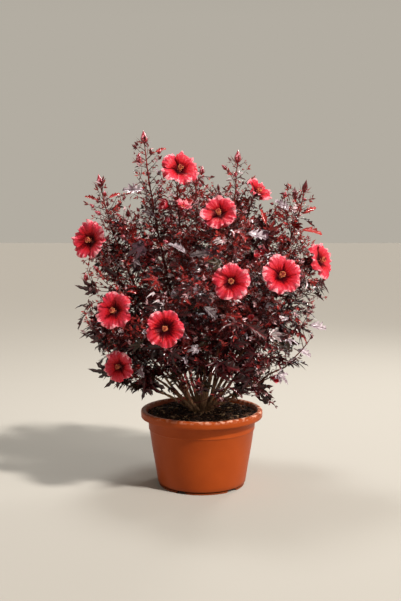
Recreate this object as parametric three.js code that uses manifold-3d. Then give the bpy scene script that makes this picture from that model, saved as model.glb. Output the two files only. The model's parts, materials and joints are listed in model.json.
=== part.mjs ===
// A flowering hibiscus shrub in a round moulded pot. Millimetres, +Z up.
// The origin is the centre of the pot's flat underside, and the side seen most is the -Y side.
// Many stems rise from one woody crown. Each ends in a mass of foliage that keeps to its own space,
// which is all that lies nearer to its stem than to any other.

import * as THREE from "three";
import { mergeVertices } from "three/addons/utils/BufferGeometryUtils.js";
import Module from "manifold-3d";

const wasm = await Module();
wasm.setup();

// The pot: a tapered shell with a collar, a thick rolled lip and drainage notches in its foot
const pot = {
  height: 250,
  lipRadius: 200,
  mouthRadius: 185,
  lipDrop: 24,
  lipRound: 6,
  collarRadius: 177,
  collarFootRadius: 174.5,
  collarFoot: 188,
  step: 2.2,
  baseRadius: 144,
  footRadius: 141.5,
  footHeight: 9,
  wall: 4,
  floor: 13,
  facets: 36,
  notches: 5,
  notchWidth: 32,
  notchHeight: 8,
  notchDepth: 16,
  firstNotch: -118.4,
};

// The potting soil and the woody crown that the stems rise from
const soil = { edgeHeight: 238, crownHeight: 243, crownRadius: 60 };
const rootCrown = { footRadius: 46, topRadius: 41, height: 7, facets: 16 };

// Limbs
const clearance = 0.3;
const stemFoot = { thinnest: 3.9, thickest: 5.2, tip: 1.5 };
const stemRings = [
  { radius: 9.5, holds: 4 },
  { radius: 22, holds: 8 },
  { radius: 34.5, holds: 20 },
];
const stemSamples = 22;
const bareLength = { share: 0.24, least: 105 };
// How far each end of a stem's line keeps its direction, as shares of the stem's reach
const bend = { leaving: 0.4, arriving: 0.3, intoBloom: 0.13 };

// Foliage
const twig = { spacing: 68, length: 165, shortest: 30, opening: 56, radius: 2.2, lift: 0.12 };
const leaf = { length: 120, spacing: 46, apart: 38, thickness: 2.4, sink: 1, curl: 0.12 };
const leafSizes = [1, 0.86, 0.74, 0.62];
const bloom = { radius: 58, notch: 0.87, depth: 20, column: 36, airAhead: 95, airBehind: 26 };
const bud = { length: 34, radius: 9 };
const goldenAngle = THREE.MathUtils.degToRad(137.5);
const spaceMargin = 1.6;

// The crown's outline is an egg, taller above its middle than below it. Twigs stay inside it by an
// inset that leaves room for their leaves.
const outline = { middle: 660, radius: 428, above: 560, below: 455, lowest: 276, depth: 0.93 };
const twigInset = 42;

// Each stem ends at a tip with a bud, or in a bloom that faces a given way
const stems = [
  { name: "left_spire", end: [-180, -60, 1112] },
  { name: "right_spire", end: [112, -60, 1052] },
  { name: "right_shoulder", end: [325, -40, 960] },
  { name: "left_shoulder", end: [-322, -30, 978] },
  { name: "back_spire", end: [-20, 150, 985] },
  { name: "top_bloom", end: [-69, -110, 1025], faces: [0.25, -0.8, 0.55] },
  { name: "high_front", end: [52, -190, 890], faces: [-0.15, -0.82, 0.52], scale: 0.97 },
  { name: "high_right", end: [179, 10, 956], faces: [0.52, -0.5, 0.7], scale: 0.95 },
  { name: "high_back", end: [62, 265, 846], faces: [0.1, 1, 0.4] },
  { name: "left_bloom", end: [-352, -60, 804], faces: [-0.6, -1, 0.3], scale: 1.06 },
  { name: "right_bloom", end: [372, -80, 742], faces: [0.8, -0.62, 0.32] },
  { name: "back_left", end: [-208, 262, 748], faces: [-0.6, 1, 0.25] },
  { name: "back_right", end: [218, 262, 715], faces: [0.8, 1, 0.2] },
  { name: "front_middle", end: [84, -335, 696], faces: [0, -1, 0.25], scale: 0.95 },
  { name: "front_right", end: [236, -240, 706], faces: [0.25, -1, 0.45], scale: 1.04 },
  { name: "left_middle", end: [-265, -210, 597], faces: [-0.4, -1, 0.3] },
  { name: "back_middle", end: [-30, 352, 640], faces: [-0.1, 1, 0.2] },
  { name: "front_low", end: [-106, -345, 561], faces: [0, -1, 0.2], scale: 0.95 },
  { name: "left_low", end: [-255, -170, 420], faces: [-0.45, -1, 0.1], scale: 0.86 },
  { name: "right_low", end: [345, -40, 480] },
  { name: "far_left", end: [-345, 50, 560] },
  { name: "low_right_bloom", end: [226, -75, 366], faces: [0.8, -0.8, 0], scale: 0.5 },
  { name: "front_right_low", end: [190, -255, 430] },
  { name: "front_left_low", end: [-45, -300, 392] },
  { name: "back_right_low", end: [215, 285, 545], faces: [0.5, 1, 0.1] },
  { name: "back_left_low", end: [-245, 235, 480], faces: [-0.7, 1, 0.1] },
  { name: "back_low", end: [20, 355, 440] },
];

const colours = {
  pot: [0xb5532c, 0.55],
  soil: [0x2a1c14, 0.95],
  bark: [0x5a3226, 0.8],
  stem: [0x5e1f1c, 0.6],
  foliage: [0x3d1a26, 0.45],
};

const up = new THREE.Vector3(0, 0, 1);
const vector = (places) => new THREE.Vector3(...places);
const mixed = (a, b, share) => a + (b - a) * share;

// A seeded stream of numbers from 0 to 1, the same on every run
function seeded(first, second) {
  let state = (first * 7919 + second * 104729 + 12345) >>> 0;
  const next = () => {
    state = (Math.imul(state, 1664525) + 1013904223) >>> 0;
    return state / 4294967296;
  };
  next();
  next();
  return next;
}

// A closed solid from any three.js geometry, with its seams and poles merged
function solidOf(geometry) {
  const bare = new THREE.BufferGeometry().setAttribute("position", geometry.attributes.position);
  if (geometry.index) bare.setIndex(geometry.index);
  const merged = mergeVertices(bare, 1e-3);
  const corners = merged.index.array;
  const kept = [];
  for (let i = 0; i < corners.length; i += 3) {
    const [a, b, c] = corners.slice(i, i + 3);
    if (a !== b && b !== c && c !== a) kept.push(a, b, c);
  }
  const vertProperties = Float32Array.from(merged.attributes.position.array);
  return new wasm.Manifold(
    new wasm.Mesh({ numProp: 3, vertProperties, triVerts: Uint32Array.from(kept) }),
  );
}

function geometryOf(solid) {
  const mesh = solid.getMesh();
  return new THREE.BufferGeometry()
    .setAttribute("position", new THREE.BufferAttribute(mesh.vertProperties, 3))
    .setIndex(new THREE.BufferAttribute(mesh.triVerts, 1));
}

// Joins the solids, keeps the largest body, and so drops loose scraps and fills sealed hollows
function fused(solids) {
  const whole = solids.reduce((sum, solid) => sum.add(solid));
  return whole.decompose().reduce((a, b) => (a.volume() > b.volume() ? a : b));
}

function namedMesh(name, solid, [colour, roughness]) {
  const geometry = geometryOf(solid).toNonIndexed();
  geometry.computeVertexNormals();
  const mesh = new THREE.Mesh(
    geometry,
    new THREE.MeshStandardMaterial({ color: colour, roughness, metalness: 0 }),
  );
  mesh.name = name;
  return mesh;
}

// A body turned about +Z from [radius, height] points
function turned(profile, facets) {
  const points = profile.map(([radius, height]) => new THREE.Vector2(radius, height));
  return solidOf(new THREE.LatheGeometry(points, facets).rotateX(Math.PI / 2));
}

// Moves a shape built about the +Y axis so that +Y points along `way` and it stands at `place`
function stood(geometry, place, way) {
  const turn = new THREE.Quaternion().setFromUnitVectors(new THREE.Vector3(0, 1, 0), way);
  return geometry.applyQuaternion(turn).translate(place.x, place.y, place.z);
}

// A tapering limb along part of a curve, bent from an upright cylinder. Each ring's corners are
// turned the same way, so that two limbs on one curve meet corner to corner.
function limb({ curve, from = 0, to = 1, radiusAt, sides, steps, pointed = false, flatFoot = false }) {
  const chord = curve.getPoint(1).sub(curve.getPoint(0)).normalize();
  const corner = Math.abs(chord.x) < 0.8 ? new THREE.Vector3(1, 0, 0) : new THREE.Vector3(0, 1, 0);
  const shape = new THREE.CylinderGeometry(1, 1, 1, sides, steps);
  const places = shape.attributes.position;
  for (let i = 0; i < places.count; i++) {
    const step = Math.round((places.getY(i) + 0.5) * steps);
    const t = mixed(from, to, step / steps);
    const along = step === 0 && flatFoot ? up.clone() : curve.getTangent(t);
    const across = corner.clone().addScaledVector(along, -corner.dot(along)).normalize();
    const radius = pointed && step === steps ? 0 : radiusAt(t);
    const place = curve
      .getPoint(t)
      .addScaledVector(across, places.getX(i) * radius)
      .addScaledVector(across.cross(along), places.getZ(i) * radius);
    places.setXYZ(i, place.x, place.y, place.z);
  }
  return solidOf(shape);
}

// The pot, with its notches cut through the foot
function makePot() {
  const under = pot.height - pot.lipDrop;
  const profile = [
    [0, 0],
    [pot.footRadius, 0],
    [pot.footRadius + 1, pot.footHeight],
    [pot.baseRadius + 1, pot.footHeight + 2],
    [pot.collarFootRadius - pot.step, pot.collarFoot - pot.step],
    [pot.collarFootRadius, pot.collarFoot],
    [pot.collarRadius, under],
    [pot.lipRadius - 1, under],
    [pot.lipRadius, pot.height - pot.lipRound],
    [pot.lipRadius - pot.lipRound, pot.height],
    [pot.mouthRadius + 2, pot.height],
    [pot.mouthRadius - 1.5, pot.height - 3],
    [pot.collarRadius - pot.wall, under],
    [pot.baseRadius - pot.wall, pot.floor + 3],
    [pot.baseRadius - pot.wall - 4, pot.floor],
    [0, pot.floor],
  ];
  let body = turned(profile, pot.facets);
  for (let k = 0; k < pot.notches; k++) {
    const angle = THREE.MathUtils.degToRad(pot.firstNotch + (360 / pot.notches) * k);
    const block = new THREE.BoxGeometry(2 * pot.notchDepth, pot.notchWidth, 2 * pot.notchHeight)
      .translate(pot.footRadius, 0, 0)
      .rotateZ(angle);
    body = body.subtract(solidOf(block));
  }
  return body;
}

// Soil that fills the pot to just under its lip and rises a little to a flat middle
function makeSoil() {
  const inner = pot.collarRadius - pot.wall;
  const under = pot.height - pot.lipDrop;
  const mouth = pot.mouthRadius - 1.5;
  const edge = mixed(inner, mouth, (soil.edgeHeight - under) / (pot.lipDrop - 3));
  return turned(
    [
      [0, pot.floor + clearance],
      [pot.baseRadius - pot.wall - 4.5, pot.floor + clearance],
      [pot.baseRadius - pot.wall - 0.6, pot.floor + 3.3],
      [inner - 1.4, under],
      [edge - 1.4, soil.edgeHeight],
      [soil.crownRadius, soil.crownHeight],
      [0, soil.crownHeight],
    ],
    pot.facets,
  );
}

const crownFoot = soil.crownHeight + clearance;
const crownTop = crownFoot + rootCrown.height;

// The woody crown, flared where it meets the soil and flat on top
function makeRootCrown() {
  return turned(
    [
      [0, crownFoot],
      [rootCrown.footRadius, crownFoot],
      [mixed(rootCrown.footRadius, rootCrown.topRadius, 0.6), mixed(crownFoot, crownTop, 0.3)],
      [rootCrown.topRadius, crownTop],
      [0, crownTop],
    ],
    rootCrown.facets,
  );
}

// Where each stem stands on the crown: upright stems inside, leaning ones outside, each on its own side
function footPlaces() {
  const byReach = stems
    .map((stem, index) => ({ index, angle: Math.atan2(stem.end[1], stem.end[0]), end: stem.end }))
    .sort((a, b) => leanOf(a.end) - leanOf(b.end));
  const places = [];
  for (const ring of stemRings) {
    const here = byReach.splice(0, ring.holds).sort((a, b) => a.angle - b.angle);
    if (!here.length) continue;
    const turn = (2 * Math.PI) / here.length;
    const offset = here.reduce((sum, stem, k) => sum + (stem.angle - k * turn), 0) / here.length;
    here.forEach((stem, k) => {
      const angle = offset + k * turn;
      places[stem.index] = [ring.radius * Math.cos(angle), ring.radius * Math.sin(angle)];
    });
  }
  return places;
}

function leanOf([x, y, z]) {
  return Math.hypot(x, y) / (z - crownTop);
}

// A stem's line leaves the crown leaning and steepens, or turns out to face its bloom
function lineOf(stem, [x, y]) {
  const foot = new THREE.Vector3(x, y, crownTop + clearance);
  const facing = stem.faces ? vector(stem.faces).normalize() : null;
  const tip = vector(stem.end);
  if (facing) tip.addScaledVector(facing, -bloom.depth * (stem.scale ?? 1));
  const reach = foot.distanceTo(tip);
  const outward = new THREE.Vector3(tip.x - x, tip.y - y, 0);
  const leaving = outward.clone().multiplyScalar(1.15).setZ(tip.z - foot.z).normalize();
  const arriving = facing
    ? facing.clone().add(leaving.clone().multiplyScalar(0.15)).addScaledVector(up, 0.3).normalize()
    : outward.clone().multiplyScalar(0.45).setZ(tip.z - foot.z).normalize();
  return new THREE.CubicBezierCurve3(
    foot,
    foot.clone().addScaledVector(leaving, reach * bend.leaving),
    tip.clone().addScaledVector(arriving, -reach * (facing ? bend.intoBloom : bend.arriving)),
    tip,
  );
}

const feet = footPlaces();
stems.forEach((stem, index) => {
  stem.index = index;
  stem.line = lineOf(stem, feet[index]);
  stem.reach = stem.line.getLength();
  stem.samples = stem.line.getPoints(stemSamples);
  const tall = THREE.MathUtils.clamp(stem.reach / 900, 0, 1);
  const thick = mixed(stemFoot.thinnest, stemFoot.thickest, tall);
  // A little flare at the foot, then an even taper
  stem.radiusAt = (t) => mixed(thick, stemFoot.tip, t) + 1.1 * Math.exp(-t * 30);
  stem.bare = Math.max(bareLength.share, bareLength.least / stem.reach);
  stem.leaves = [];
});

const blooms = stems
  .filter((stem) => stem.faces)
  .map((stem) => ({
    centre: vector(stem.end),
    facing: vector(stem.faces).normalize(),
    scale: stem.scale ?? 1,
  }));

const segment = new THREE.Line3();
const nearest = new THREE.Vector3();

function distanceToStem(place, stem) {
  let least = Infinity;
  for (let i = 1; i < stem.samples.length; i++) {
    segment.set(stem.samples[i - 1], stem.samples[i]);
    segment.closestPointToPoint(place, true, nearest);
    least = Math.min(least, nearest.distanceToSquared(place));
  }
  return Math.sqrt(least);
}

function withinOutline(place, inset) {
  const side = place.z > outline.middle ? outline.above : outline.below;
  const across = Math.hypot(place.x, place.y / outline.depth) / outline.radius;
  const out = Math.hypot(across, (place.z - outline.middle) / side);
  return place.z > outline.lowest && out < 1 - inset / outline.radius;
}

// The room that a bloom needs: its own saucer and the air in front of it
function touchesBloom(place) {
  return blooms.some(({ centre, facing, scale }) => {
    const apart = place.clone().sub(centre);
    const ahead = apart.dot(facing);
    const beside = Math.sqrt(Math.max(apart.lengthSq() - ahead * ahead, 0));
    const room = (bloom.radius + 5) * scale - ahead * 0.25;
    return ahead > -bloom.airBehind * scale && ahead < bloom.airAhead && beside < room;
  });
}

function inOwnSpace(place, stem, room, inset = 0) {
  if (!withinOutline(place, inset) || touchesBloom(place)) return false;
  const own = distanceToStem(place, stem);
  return stems.every((other) => other === stem || distanceToStem(place, other) > own + 2 * room);
}

// A three-lobed leaf, thickest where its lobes meet. Its root is at the origin and it points along +X.
const leafOutline = [
  [0, 0],
  [0.62, -0.46],
  [0.6, -0.16],
  [1, 0],
  [0.6, 0.16],
  [0.62, 0.46],
];
const leafMiddle = 0.47;

function leafAt(root, along, upward, length) {
  const shape = new THREE.LatheGeometry(
    [new THREE.Vector2(0, -0.5), new THREE.Vector2(1, 0), new THREE.Vector2(0, 0.5)],
    leafOutline.length,
  );
  const side = upward.clone().cross(along).normalize();
  const face = along.clone().cross(side).normalize();
  const foot = root.clone().addScaledVector(along, -leaf.sink);
  const places = shape.attributes.position;
  const corners = [];
  for (let i = 0; i < places.count; i++) {
    const onRim = Math.hypot(places.getX(i), places.getZ(i)) > 0.5;
    const step = Math.round((Math.atan2(places.getX(i), places.getZ(i)) / (2 * Math.PI)) * 6 + 6);
    const [x, y] = onRim ? leafOutline[step % leafOutline.length] : [leafMiddle, 0];
    const height = onRim ? 0 : places.getY(i) * leaf.thickness;
    const place = foot
      .clone()
      .addScaledVector(along, x * length)
      .addScaledVector(side, y * length)
      .addScaledVector(face, height - (x * x + y * y) * length * leaf.curl);
    places.setXYZ(i, place.x, place.y, place.z);
    if (onRim) corners.push(place);
  }
  return { shape, corners };
}

// The largest leaf that fits in the stem's space and crowds no leaf before it, tried in each of
// the ways given, or none
function fittedLeaf(stem, root, ways, upward, length) {
  for (const share of leafSizes) {
    for (const along of ways) {
      const middle = root.clone().addScaledVector(along, length * share * leafMiddle);
      if (stem.leaves.some((other) => other.distanceTo(middle) < leaf.apart)) continue;
      const { shape, corners } = leafAt(root, along, upward, length * share);
      const lobes = corners.filter((corner) => corner.distanceTo(root) > 2 * leaf.sink);
      const halfway = lobes.map((lobe) => lobe.clone().lerp(middle, 0.5));
      const places = [middle, ...lobes, ...halfway];
      if (places.every((place) => inOwnSpace(place, stem, spaceMargin))) {
        stem.leaves.push(middle);
        return [solidOf(shape)];
      }
    }
  }
  return [];
}

// A bloom of five overlapping petals round a throat, with a calyx behind and a column in front
function bloomAt(centre, facing, scale) {
  const profile = [
    [0, -bloom.depth - 5],
    [11, -8],
    [bloom.radius, 13],
    [25, 3],
    [0, -4],
  ];
  const points = profile.map(([radius, height]) => new THREE.Vector2(radius, height));
  const petals = new THREE.LatheGeometry(points, 10);
  const places = petals.attributes.position;
  for (let i = 0; i < places.count; i++) {
    const onRim = Math.hypot(places.getX(i), places.getZ(i)) > 0.9 * bloom.radius;
    const step = Math.round((Math.atan2(places.getX(i), places.getZ(i)) * 5) / Math.PI);
    if (!onRim || step % 2 === 0) continue;
    places.setX(i, places.getX(i) * bloom.notch);
    places.setZ(i, places.getZ(i) * bloom.notch);
    places.setY(i, places.getY(i) + 5);
  }
  const column = new THREE.CylinderGeometry(4, 2.4, bloom.column, 4);
  column.translate(0, bloom.column / 2 - 8, 0);
  return [petals, column].map((shape) =>
    solidOf(stood(shape.scale(scale, scale, scale), centre, facing)),
  );
}

function budAt(foot, way, scale) {
  const shape = new THREE.LatheGeometry(
    [
      [0, -5],
      [bud.radius, bud.length * 0.35],
      [0, bud.length],
    ].map(([radius, height]) => new THREE.Vector2(radius * scale, height * scale)),
    5,
  );
  return solidOf(stood(shape, foot, way));
}

// A twig that opens out from the stem, lifted a little to the light and shortened until it fits
function fittedTwig(stem, root, way, length) {
  for (let reach = length; reach > twig.shortest; reach *= 0.84) {
    const tip = root.clone().addScaledVector(way, reach).addScaledVector(up, reach * twig.lift);
    const curve = new THREE.LineCurve3(root, tip);
    const clear = curve
      .getPoints(6)
      .slice(1)
      .every((place) => inOwnSpace(place, stem, spaceMargin + twig.radius, twigInset));
    if (clear) return { curve, reach };
  }
  return null;
}

// The longest twig among three directions round the stem
function bestTwig(stem, t, turn, opening, length) {
  const root = stem.line.getPoint(t);
  const along = stem.line.getTangent(t);
  const found = [0, 1, 2].map((third) => {
    const angle = turn + (third * 2 * Math.PI) / 3;
    const across = new THREE.Vector3(Math.cos(angle), Math.sin(angle), 0);
    across.addScaledVector(along, -across.dot(along)).normalize();
    const way = across.multiplyScalar(Math.sin(opening)).addScaledVector(along, Math.cos(opening));
    return fittedTwig(stem, root, way, length);
  });
  return found.reduce((best, one) => (one && (!best || one.reach > best.reach) ? one : best), null);
}

// One mass of foliage: the stem's upper part with its twigs, leaves, buds and bloom fused on
function makeFoliage(stem) {
  const start = stem.bare + clearance / stem.reach;
  const parts = [
    limb({ curve: stem.line, from: start, radiusAt: stem.radiusAt, sides: 5, steps: 4 }),
  ];
  const count = Math.round((stem.reach * (1 - stem.bare)) / twig.spacing);
  for (let k = 0; k < count; k++) {
    const random = seeded(stem.index, k);
    const share = (k + 0.3 + 0.4 * random()) / count;
    const t = mixed(stem.bare + 0.02, 0.985, share);
    const opening = THREE.MathUtils.degToRad(twig.opening + 14 * (random() - 0.5));
    const length = twig.length * (1 - 0.62 * share ** 1.4) * (0.8 + 0.4 * random());
    const turn = goldenAngle * k + stem.index;
    const found = bestTwig(stem, t, turn, opening, length);
    const leaves = found ? leavesAlong(stem, found, share, random) : [];
    if (leaves.length) {
      const radiusAt = () => twig.radius;
      parts.push(limb({ curve: found.curve, radiusAt, sides: 3, steps: 1, pointed: true }), ...leaves);
    } else {
      parts.push(...leafOnStem(stem, t, turn, leaf.length * (0.85 + 0.3 * random())));
    }
  }
  if (stem.faces) {
    parts.push(...bloomAt(vector(stem.end), vector(stem.faces).normalize(), stem.scale ?? 1));
  } else {
    parts.push(budAt(stem.line.getPoint(1), stem.line.getTangent(1), 1));
  }
  return fused(parts);
}

// Where there is no room for a twig, a leaf stands on the stem itself
function leafOnStem(stem, t, turn, length) {
  const ways = [0, 1, 2, 3, 4].map((step) => {
    const angle = turn + (step * 2 * Math.PI) / 5;
    return new THREE.Vector3(Math.cos(angle), Math.sin(angle), -0.2).normalize();
  });
  return fittedLeaf(stem, stem.line.getPoint(t), ways, up.clone(), length);
}

// Leaves by turns on either side of a twig, hanging a little and turned to the light outside,
// and one more leaf or a bud at its tip
function leavesAlong(stem, { curve, reach }, share, random) {
  const parts = [];
  const count = Math.max(1, Math.round(reach / leaf.spacing));
  const high = stem.line.getPoint(1).z > 900 ? share : share * 0.35;
  const along = curve.getTangent(0);
  const side = along.clone().cross(up).normalize();
  for (let k = 0; k <= count; k++) {
    const root = curve.getPoint(mixed(0.3, 0.92, k / count));
    if (k === count && high > 0.7) {
      parts.push(budAt(root, along, 0.8));
      continue;
    }
    const swing = (k % 2 ? 1.1 : -1.1) + 0.4 * (random() - 0.5);
    const droop = -0.45 + 0.7 * (random() - 0.5);
    const ways = (k === count ? [0.2, swing, -swing] : [swing, -swing, 0.2]).map((turned) =>
      along
        .clone()
        .multiplyScalar(0.6)
        .addScaledVector(side, turned)
        .addScaledVector(up, droop)
        .normalize(),
    );
    const upward = root
      .clone()
      .setZ(0)
      .normalize()
      .addScaledVector(up, 0.35 + 0.7 * random())
      .addScaledVector(side, 0.6 * (random() - 0.5));
    const length = leaf.length * (1 - 0.45 * high) * (0.9 + 0.35 * random());
    parts.push(...fittedLeaf(stem, root, ways, upward, length));
  }
  return parts;
}

const shrub = new THREE.Group();
shrub.name = "hibiscus_in_pot";
shrub.add(namedMesh("pot", makePot(), colours.pot));
shrub.add(namedMesh("potting_soil", makeSoil(), colours.soil));
shrub.add(namedMesh("root_crown", makeRootCrown(), colours.bark));
for (const stem of stems) {
  const bough = limb({
    curve: stem.line,
    from: 0,
    to: stem.bare,
    radiusAt: stem.radiusAt,
    sides: 5,
    steps: 3,
    flatFoot: true,
  });
  shrub.add(namedMesh("stem_" + stem.name, bough, colours.stem));
  shrub.add(namedMesh("foliage_" + stem.name, makeFoliage(stem), colours.foliage));
}

export default shrub;
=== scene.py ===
import json
import math

import bmesh
import bpy
import numpy as np
from mathutils import Matrix, Vector, noise

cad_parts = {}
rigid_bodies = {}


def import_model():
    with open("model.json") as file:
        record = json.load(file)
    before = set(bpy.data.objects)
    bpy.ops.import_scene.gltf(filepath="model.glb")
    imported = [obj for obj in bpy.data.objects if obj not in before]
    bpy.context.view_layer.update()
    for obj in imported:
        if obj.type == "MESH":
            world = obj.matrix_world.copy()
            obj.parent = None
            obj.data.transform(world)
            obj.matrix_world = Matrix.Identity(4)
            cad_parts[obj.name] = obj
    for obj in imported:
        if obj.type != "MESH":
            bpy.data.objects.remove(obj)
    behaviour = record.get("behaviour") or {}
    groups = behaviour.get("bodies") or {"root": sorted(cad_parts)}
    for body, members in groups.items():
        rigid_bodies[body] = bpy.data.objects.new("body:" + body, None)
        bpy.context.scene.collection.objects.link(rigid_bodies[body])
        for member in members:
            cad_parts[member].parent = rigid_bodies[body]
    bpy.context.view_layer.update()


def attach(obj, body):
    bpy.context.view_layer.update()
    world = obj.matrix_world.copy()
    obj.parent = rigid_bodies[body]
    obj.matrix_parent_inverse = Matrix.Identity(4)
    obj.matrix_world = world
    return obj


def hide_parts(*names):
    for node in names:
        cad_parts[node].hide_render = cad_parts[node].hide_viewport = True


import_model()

metre = 0.001


# Helpers

def linear(hexColour):
    channels = [int(hexColour[k:k + 2], 16) / 255 for k in (1, 3, 5)]
    return tuple(c / 12.92 if c <= 0.04045 else ((c + 0.055) / 1.055) ** 2.4 for c in channels) + (1.0,)


# Sets or links a node's sockets. A node given as a value stands for its first output.
def setInputs(tree, node, inputs):
    for name, value in inputs.items():
        if isinstance(value, bpy.types.Node):
            value = value.outputs[0]
        if isinstance(value, bpy.types.NodeSocket):
            tree.links.new(value, node.inputs[name])
        else:
            node.inputs[name].default_value = value


def addNode(tree, kind, settings=None, inputs=None):
    node = tree.nodes.new(kind)
    for name, value in (settings or {}).items():
        setattr(node, name, value)
    setInputs(tree, node, inputs or {})
    return node


def startMaterial(name, constants):
    material = bpy.data.materials.new(name)
    material.use_nodes = True
    tree = material.node_tree
    shader = tree.nodes["Principled BSDF"]
    setInputs(tree, shader, constants)
    return material, tree, shader


def mixed(a, b, share):
    return a + (b - a) * share


def clamped(value):
    return min(max(value, 0.0), 1.0)


def unit(way):
    way = np.asarray(way, dtype=float)
    return way / np.linalg.norm(way)


# A seeded stream of numbers from 0 to 1, the same as in the part's source
def seeded(first, second):
    state = (first * 7919 + second * 104729 + 12345) & 0xFFFFFFFF

    def following():
        nonlocal state
        state = (state * 1664525 + 1013904223) & 0xFFFFFFFF
        return state / 4294967296

    following()
    following()
    return following


# A number drawn from a range, or a plain number as it is
def drawn(value, draw):
    return mixed(*value, draw()) if isinstance(value, tuple) else value


# Puts a finished mesh in the scene as a piece of the plant
def addPiece(name, mesh, materials, replacing=()):
    for material in materials:
        mesh.materials.append(material)
    piece = bpy.data.objects.new(name, mesh)
    bpy.context.collection.objects.link(piece)
    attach(piece, "root")
    if replacing:
        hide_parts(*replacing)
    return piece


def meshOf(bm, name, smooth=True):
    bmesh.ops.scale(bm, vec=(metre, metre, metre), verts=bm.verts)
    for face in bm.faces:
        face.smooth = smooth
    mesh = bpy.data.meshes.new(name)
    bm.to_mesh(mesh)
    bm.free()
    return mesh


# A small shape kept as arrays, to be set out many times
def templateOf(bm):
    bmesh.ops.triangulate(bm, faces=bm.faces)
    bm.verts.index_update()
    uvLayer = bm.loops.layers.uv.verify()
    template = {
        "places": np.array([vert.co[:] for vert in bm.verts]),
        "corners": np.array([[vert.index for vert in face.verts] for face in bm.faces]),
        "zones": np.array([face.material_index for face in bm.faces]),
        "uvs": np.array([loop[uvLayer].uv[:] for face in bm.faces for loop in face.loops]),
    }
    bm.free()
    return template


# Axes of a shape whose length lies along one way and whose face looks another
def axesOf(along, upward, size=1.0, width=1.0):
    along = unit(along)
    side = np.cross(upward, along)
    if np.linalg.norm(side) < 1e-6:
        side = np.cross((1.0, 0.0, 0.0), along)
    side = unit(side)
    return np.array([along * size, side * size * width, np.cross(along, side) * size])


pieceLimit = 190000  # triangles in one piece


# Sets out templates as joined meshes. A spray is (template, axes, place, colour); zone 0 of a template
# takes the spray's colour, and zone n the material n places after the last spray colour.
def joinSprays(name, sprays, templates, materials, sprayColours, replacing=()):
    bins = [[]]
    filled = 0
    for spray in sprays:
        faces = len(templates[spray[0]]["corners"])
        if filled + faces > pieceLimit:
            bins.append([])
            filled = 0
        bins[-1].append(spray)
        filled += faces
    for number, group in enumerate(bins, 1):
        places, corners, slots, uvs = [], [], [], []
        start = 0
        for index, template in enumerate(templates):
            mine = [spray for spray in group if spray[0] == index]
            if not mine:
                continue
            axes = np.array([spray[1] for spray in mine])
            roots = np.array([spray[2] for spray in mine])
            colours = np.array([spray[3] for spray in mine])
            count = len(template["places"])
            turned = np.einsum("nk,mkj->mnj", template["places"], axes)
            places.append((turned + roots[:, None]).reshape(-1, 3))
            offsets = start + count * np.arange(len(mine))
            corners.append((template["corners"][None] + offsets[:, None, None]).reshape(-1, 3))
            zones = template["zones"][None]
            slots.append(np.where(zones == 0, colours[:, None], zones + sprayColours - 1).reshape(-1))
            uvs.append(np.tile(template["uvs"], (len(mine), 1)))
            start += count * len(mine)
        places = np.concatenate(places) * metre
        corners = np.concatenate(corners)
        mesh = bpy.data.meshes.new(f"{name}_{number}")
        mesh.vertices.add(len(places))
        mesh.vertices.foreach_set("co", places.reshape(-1))
        mesh.loops.add(corners.size)
        mesh.loops.foreach_set("vertex_index", corners.reshape(-1).astype(np.int32))
        mesh.polygons.add(len(corners))
        mesh.polygons.foreach_set("loop_start", np.arange(0, corners.size, 3, dtype=np.int32))
        mesh.polygons.foreach_set("material_index", np.concatenate(slots).astype(np.int32))
        mesh.polygons.foreach_set("use_smooth", np.ones(len(corners), dtype=bool))
        mesh.uv_layers.new(name="ownMap")
        mesh.uv_layers["ownMap"].data.foreach_set("uv", np.concatenate(uvs).reshape(-1))
        mesh.update(calc_edges=True)
        mesh.validate()
        suffix = f"_{number}" if len(bins) > 1 else ""
        addPiece(name + suffix, mesh, materials, replacing)
        print(f"{name + suffix}: {len(group)} sprays, {len(corners)} triangles")


# Joins many tapering limbs, each a (points, radii, material) path, as one mesh of tubes. The curve has
# no materials of its own, so every face comes out with the first one, whatever its path says.
def tubesOf(name, paths, sides):
    curve = bpy.data.curves.new(name, "CURVE")
    curve.dimensions = "3D"
    curve.bevel_depth = metre
    curve.bevel_resolution = (sides - 4) // 2
    curve.use_fill_caps = True
    for points, radii, slot in paths:
        spline = curve.splines.new("POLY")
        spline.points.add(len(points) - 1)
        places = np.column_stack([np.asarray(points) * metre, np.ones(len(points))])
        spline.points.foreach_set("co", places.reshape(-1))
        spline.points.foreach_set("radius", np.asarray(radii, dtype=float))
        spline.material_index = slot
        spline.use_smooth = True
    holder = bpy.data.objects.new(name, curve)
    bpy.context.collection.objects.link(holder)
    mesh = bpy.data.meshes.new_from_object(holder.evaluated_get(bpy.context.evaluated_depsgraph_get()))
    bpy.data.objects.remove(holder)
    bpy.data.curves.remove(curve)
    return mesh


# Camera, light and floor

view = {"place": (-4, -2934, 911.5), "pitch": 5.911, "lens": 54.2, "sensor": 36, "farthest": 100}
camera = bpy.data.objects.new("camera", bpy.data.cameras.new("camera"))
camera.location = Vector(view["place"]) * metre
camera.rotation_euler = (math.radians(90 - view["pitch"]), 0, 0)
camera.data.lens = view["lens"]
camera.data.sensor_width = view["sensor"]
camera.data.clip_end = view["farthest"]
bpy.context.collection.objects.link(camera)
bpy.context.scene.camera = camera

# The key light comes from the right, in front and above. The others lift the crown off the wall.
keyLight = {"place": (2.3, -2.0, 3.2), "strength": 3.8, "angle": 5, "colour": "#fff9f2"}
lights = {
    "top": {"place": (-0.5, 0.7, 3.2), "size": 0.7, "watts": 38, "colour": "#ffffff"},
    "rim": {"place": (1.7, 2.3, 2.3), "size": 0.8, "watts": 34, "colour": "#fbf8f4"},
    "side": {"place": (2.6, -1.2, 1.5), "size": 0.9, "watts": 24, "colour": "#fff8f0"},
}
lightAim = Vector((0, 0, 0.6))
studio = {
    "lowWall": "#b3ada2", "highWall": "#827c74", "wallRise": (0.2, 0.7), "paper": "#b3afa7",
    "reach": 20000,
}

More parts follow.
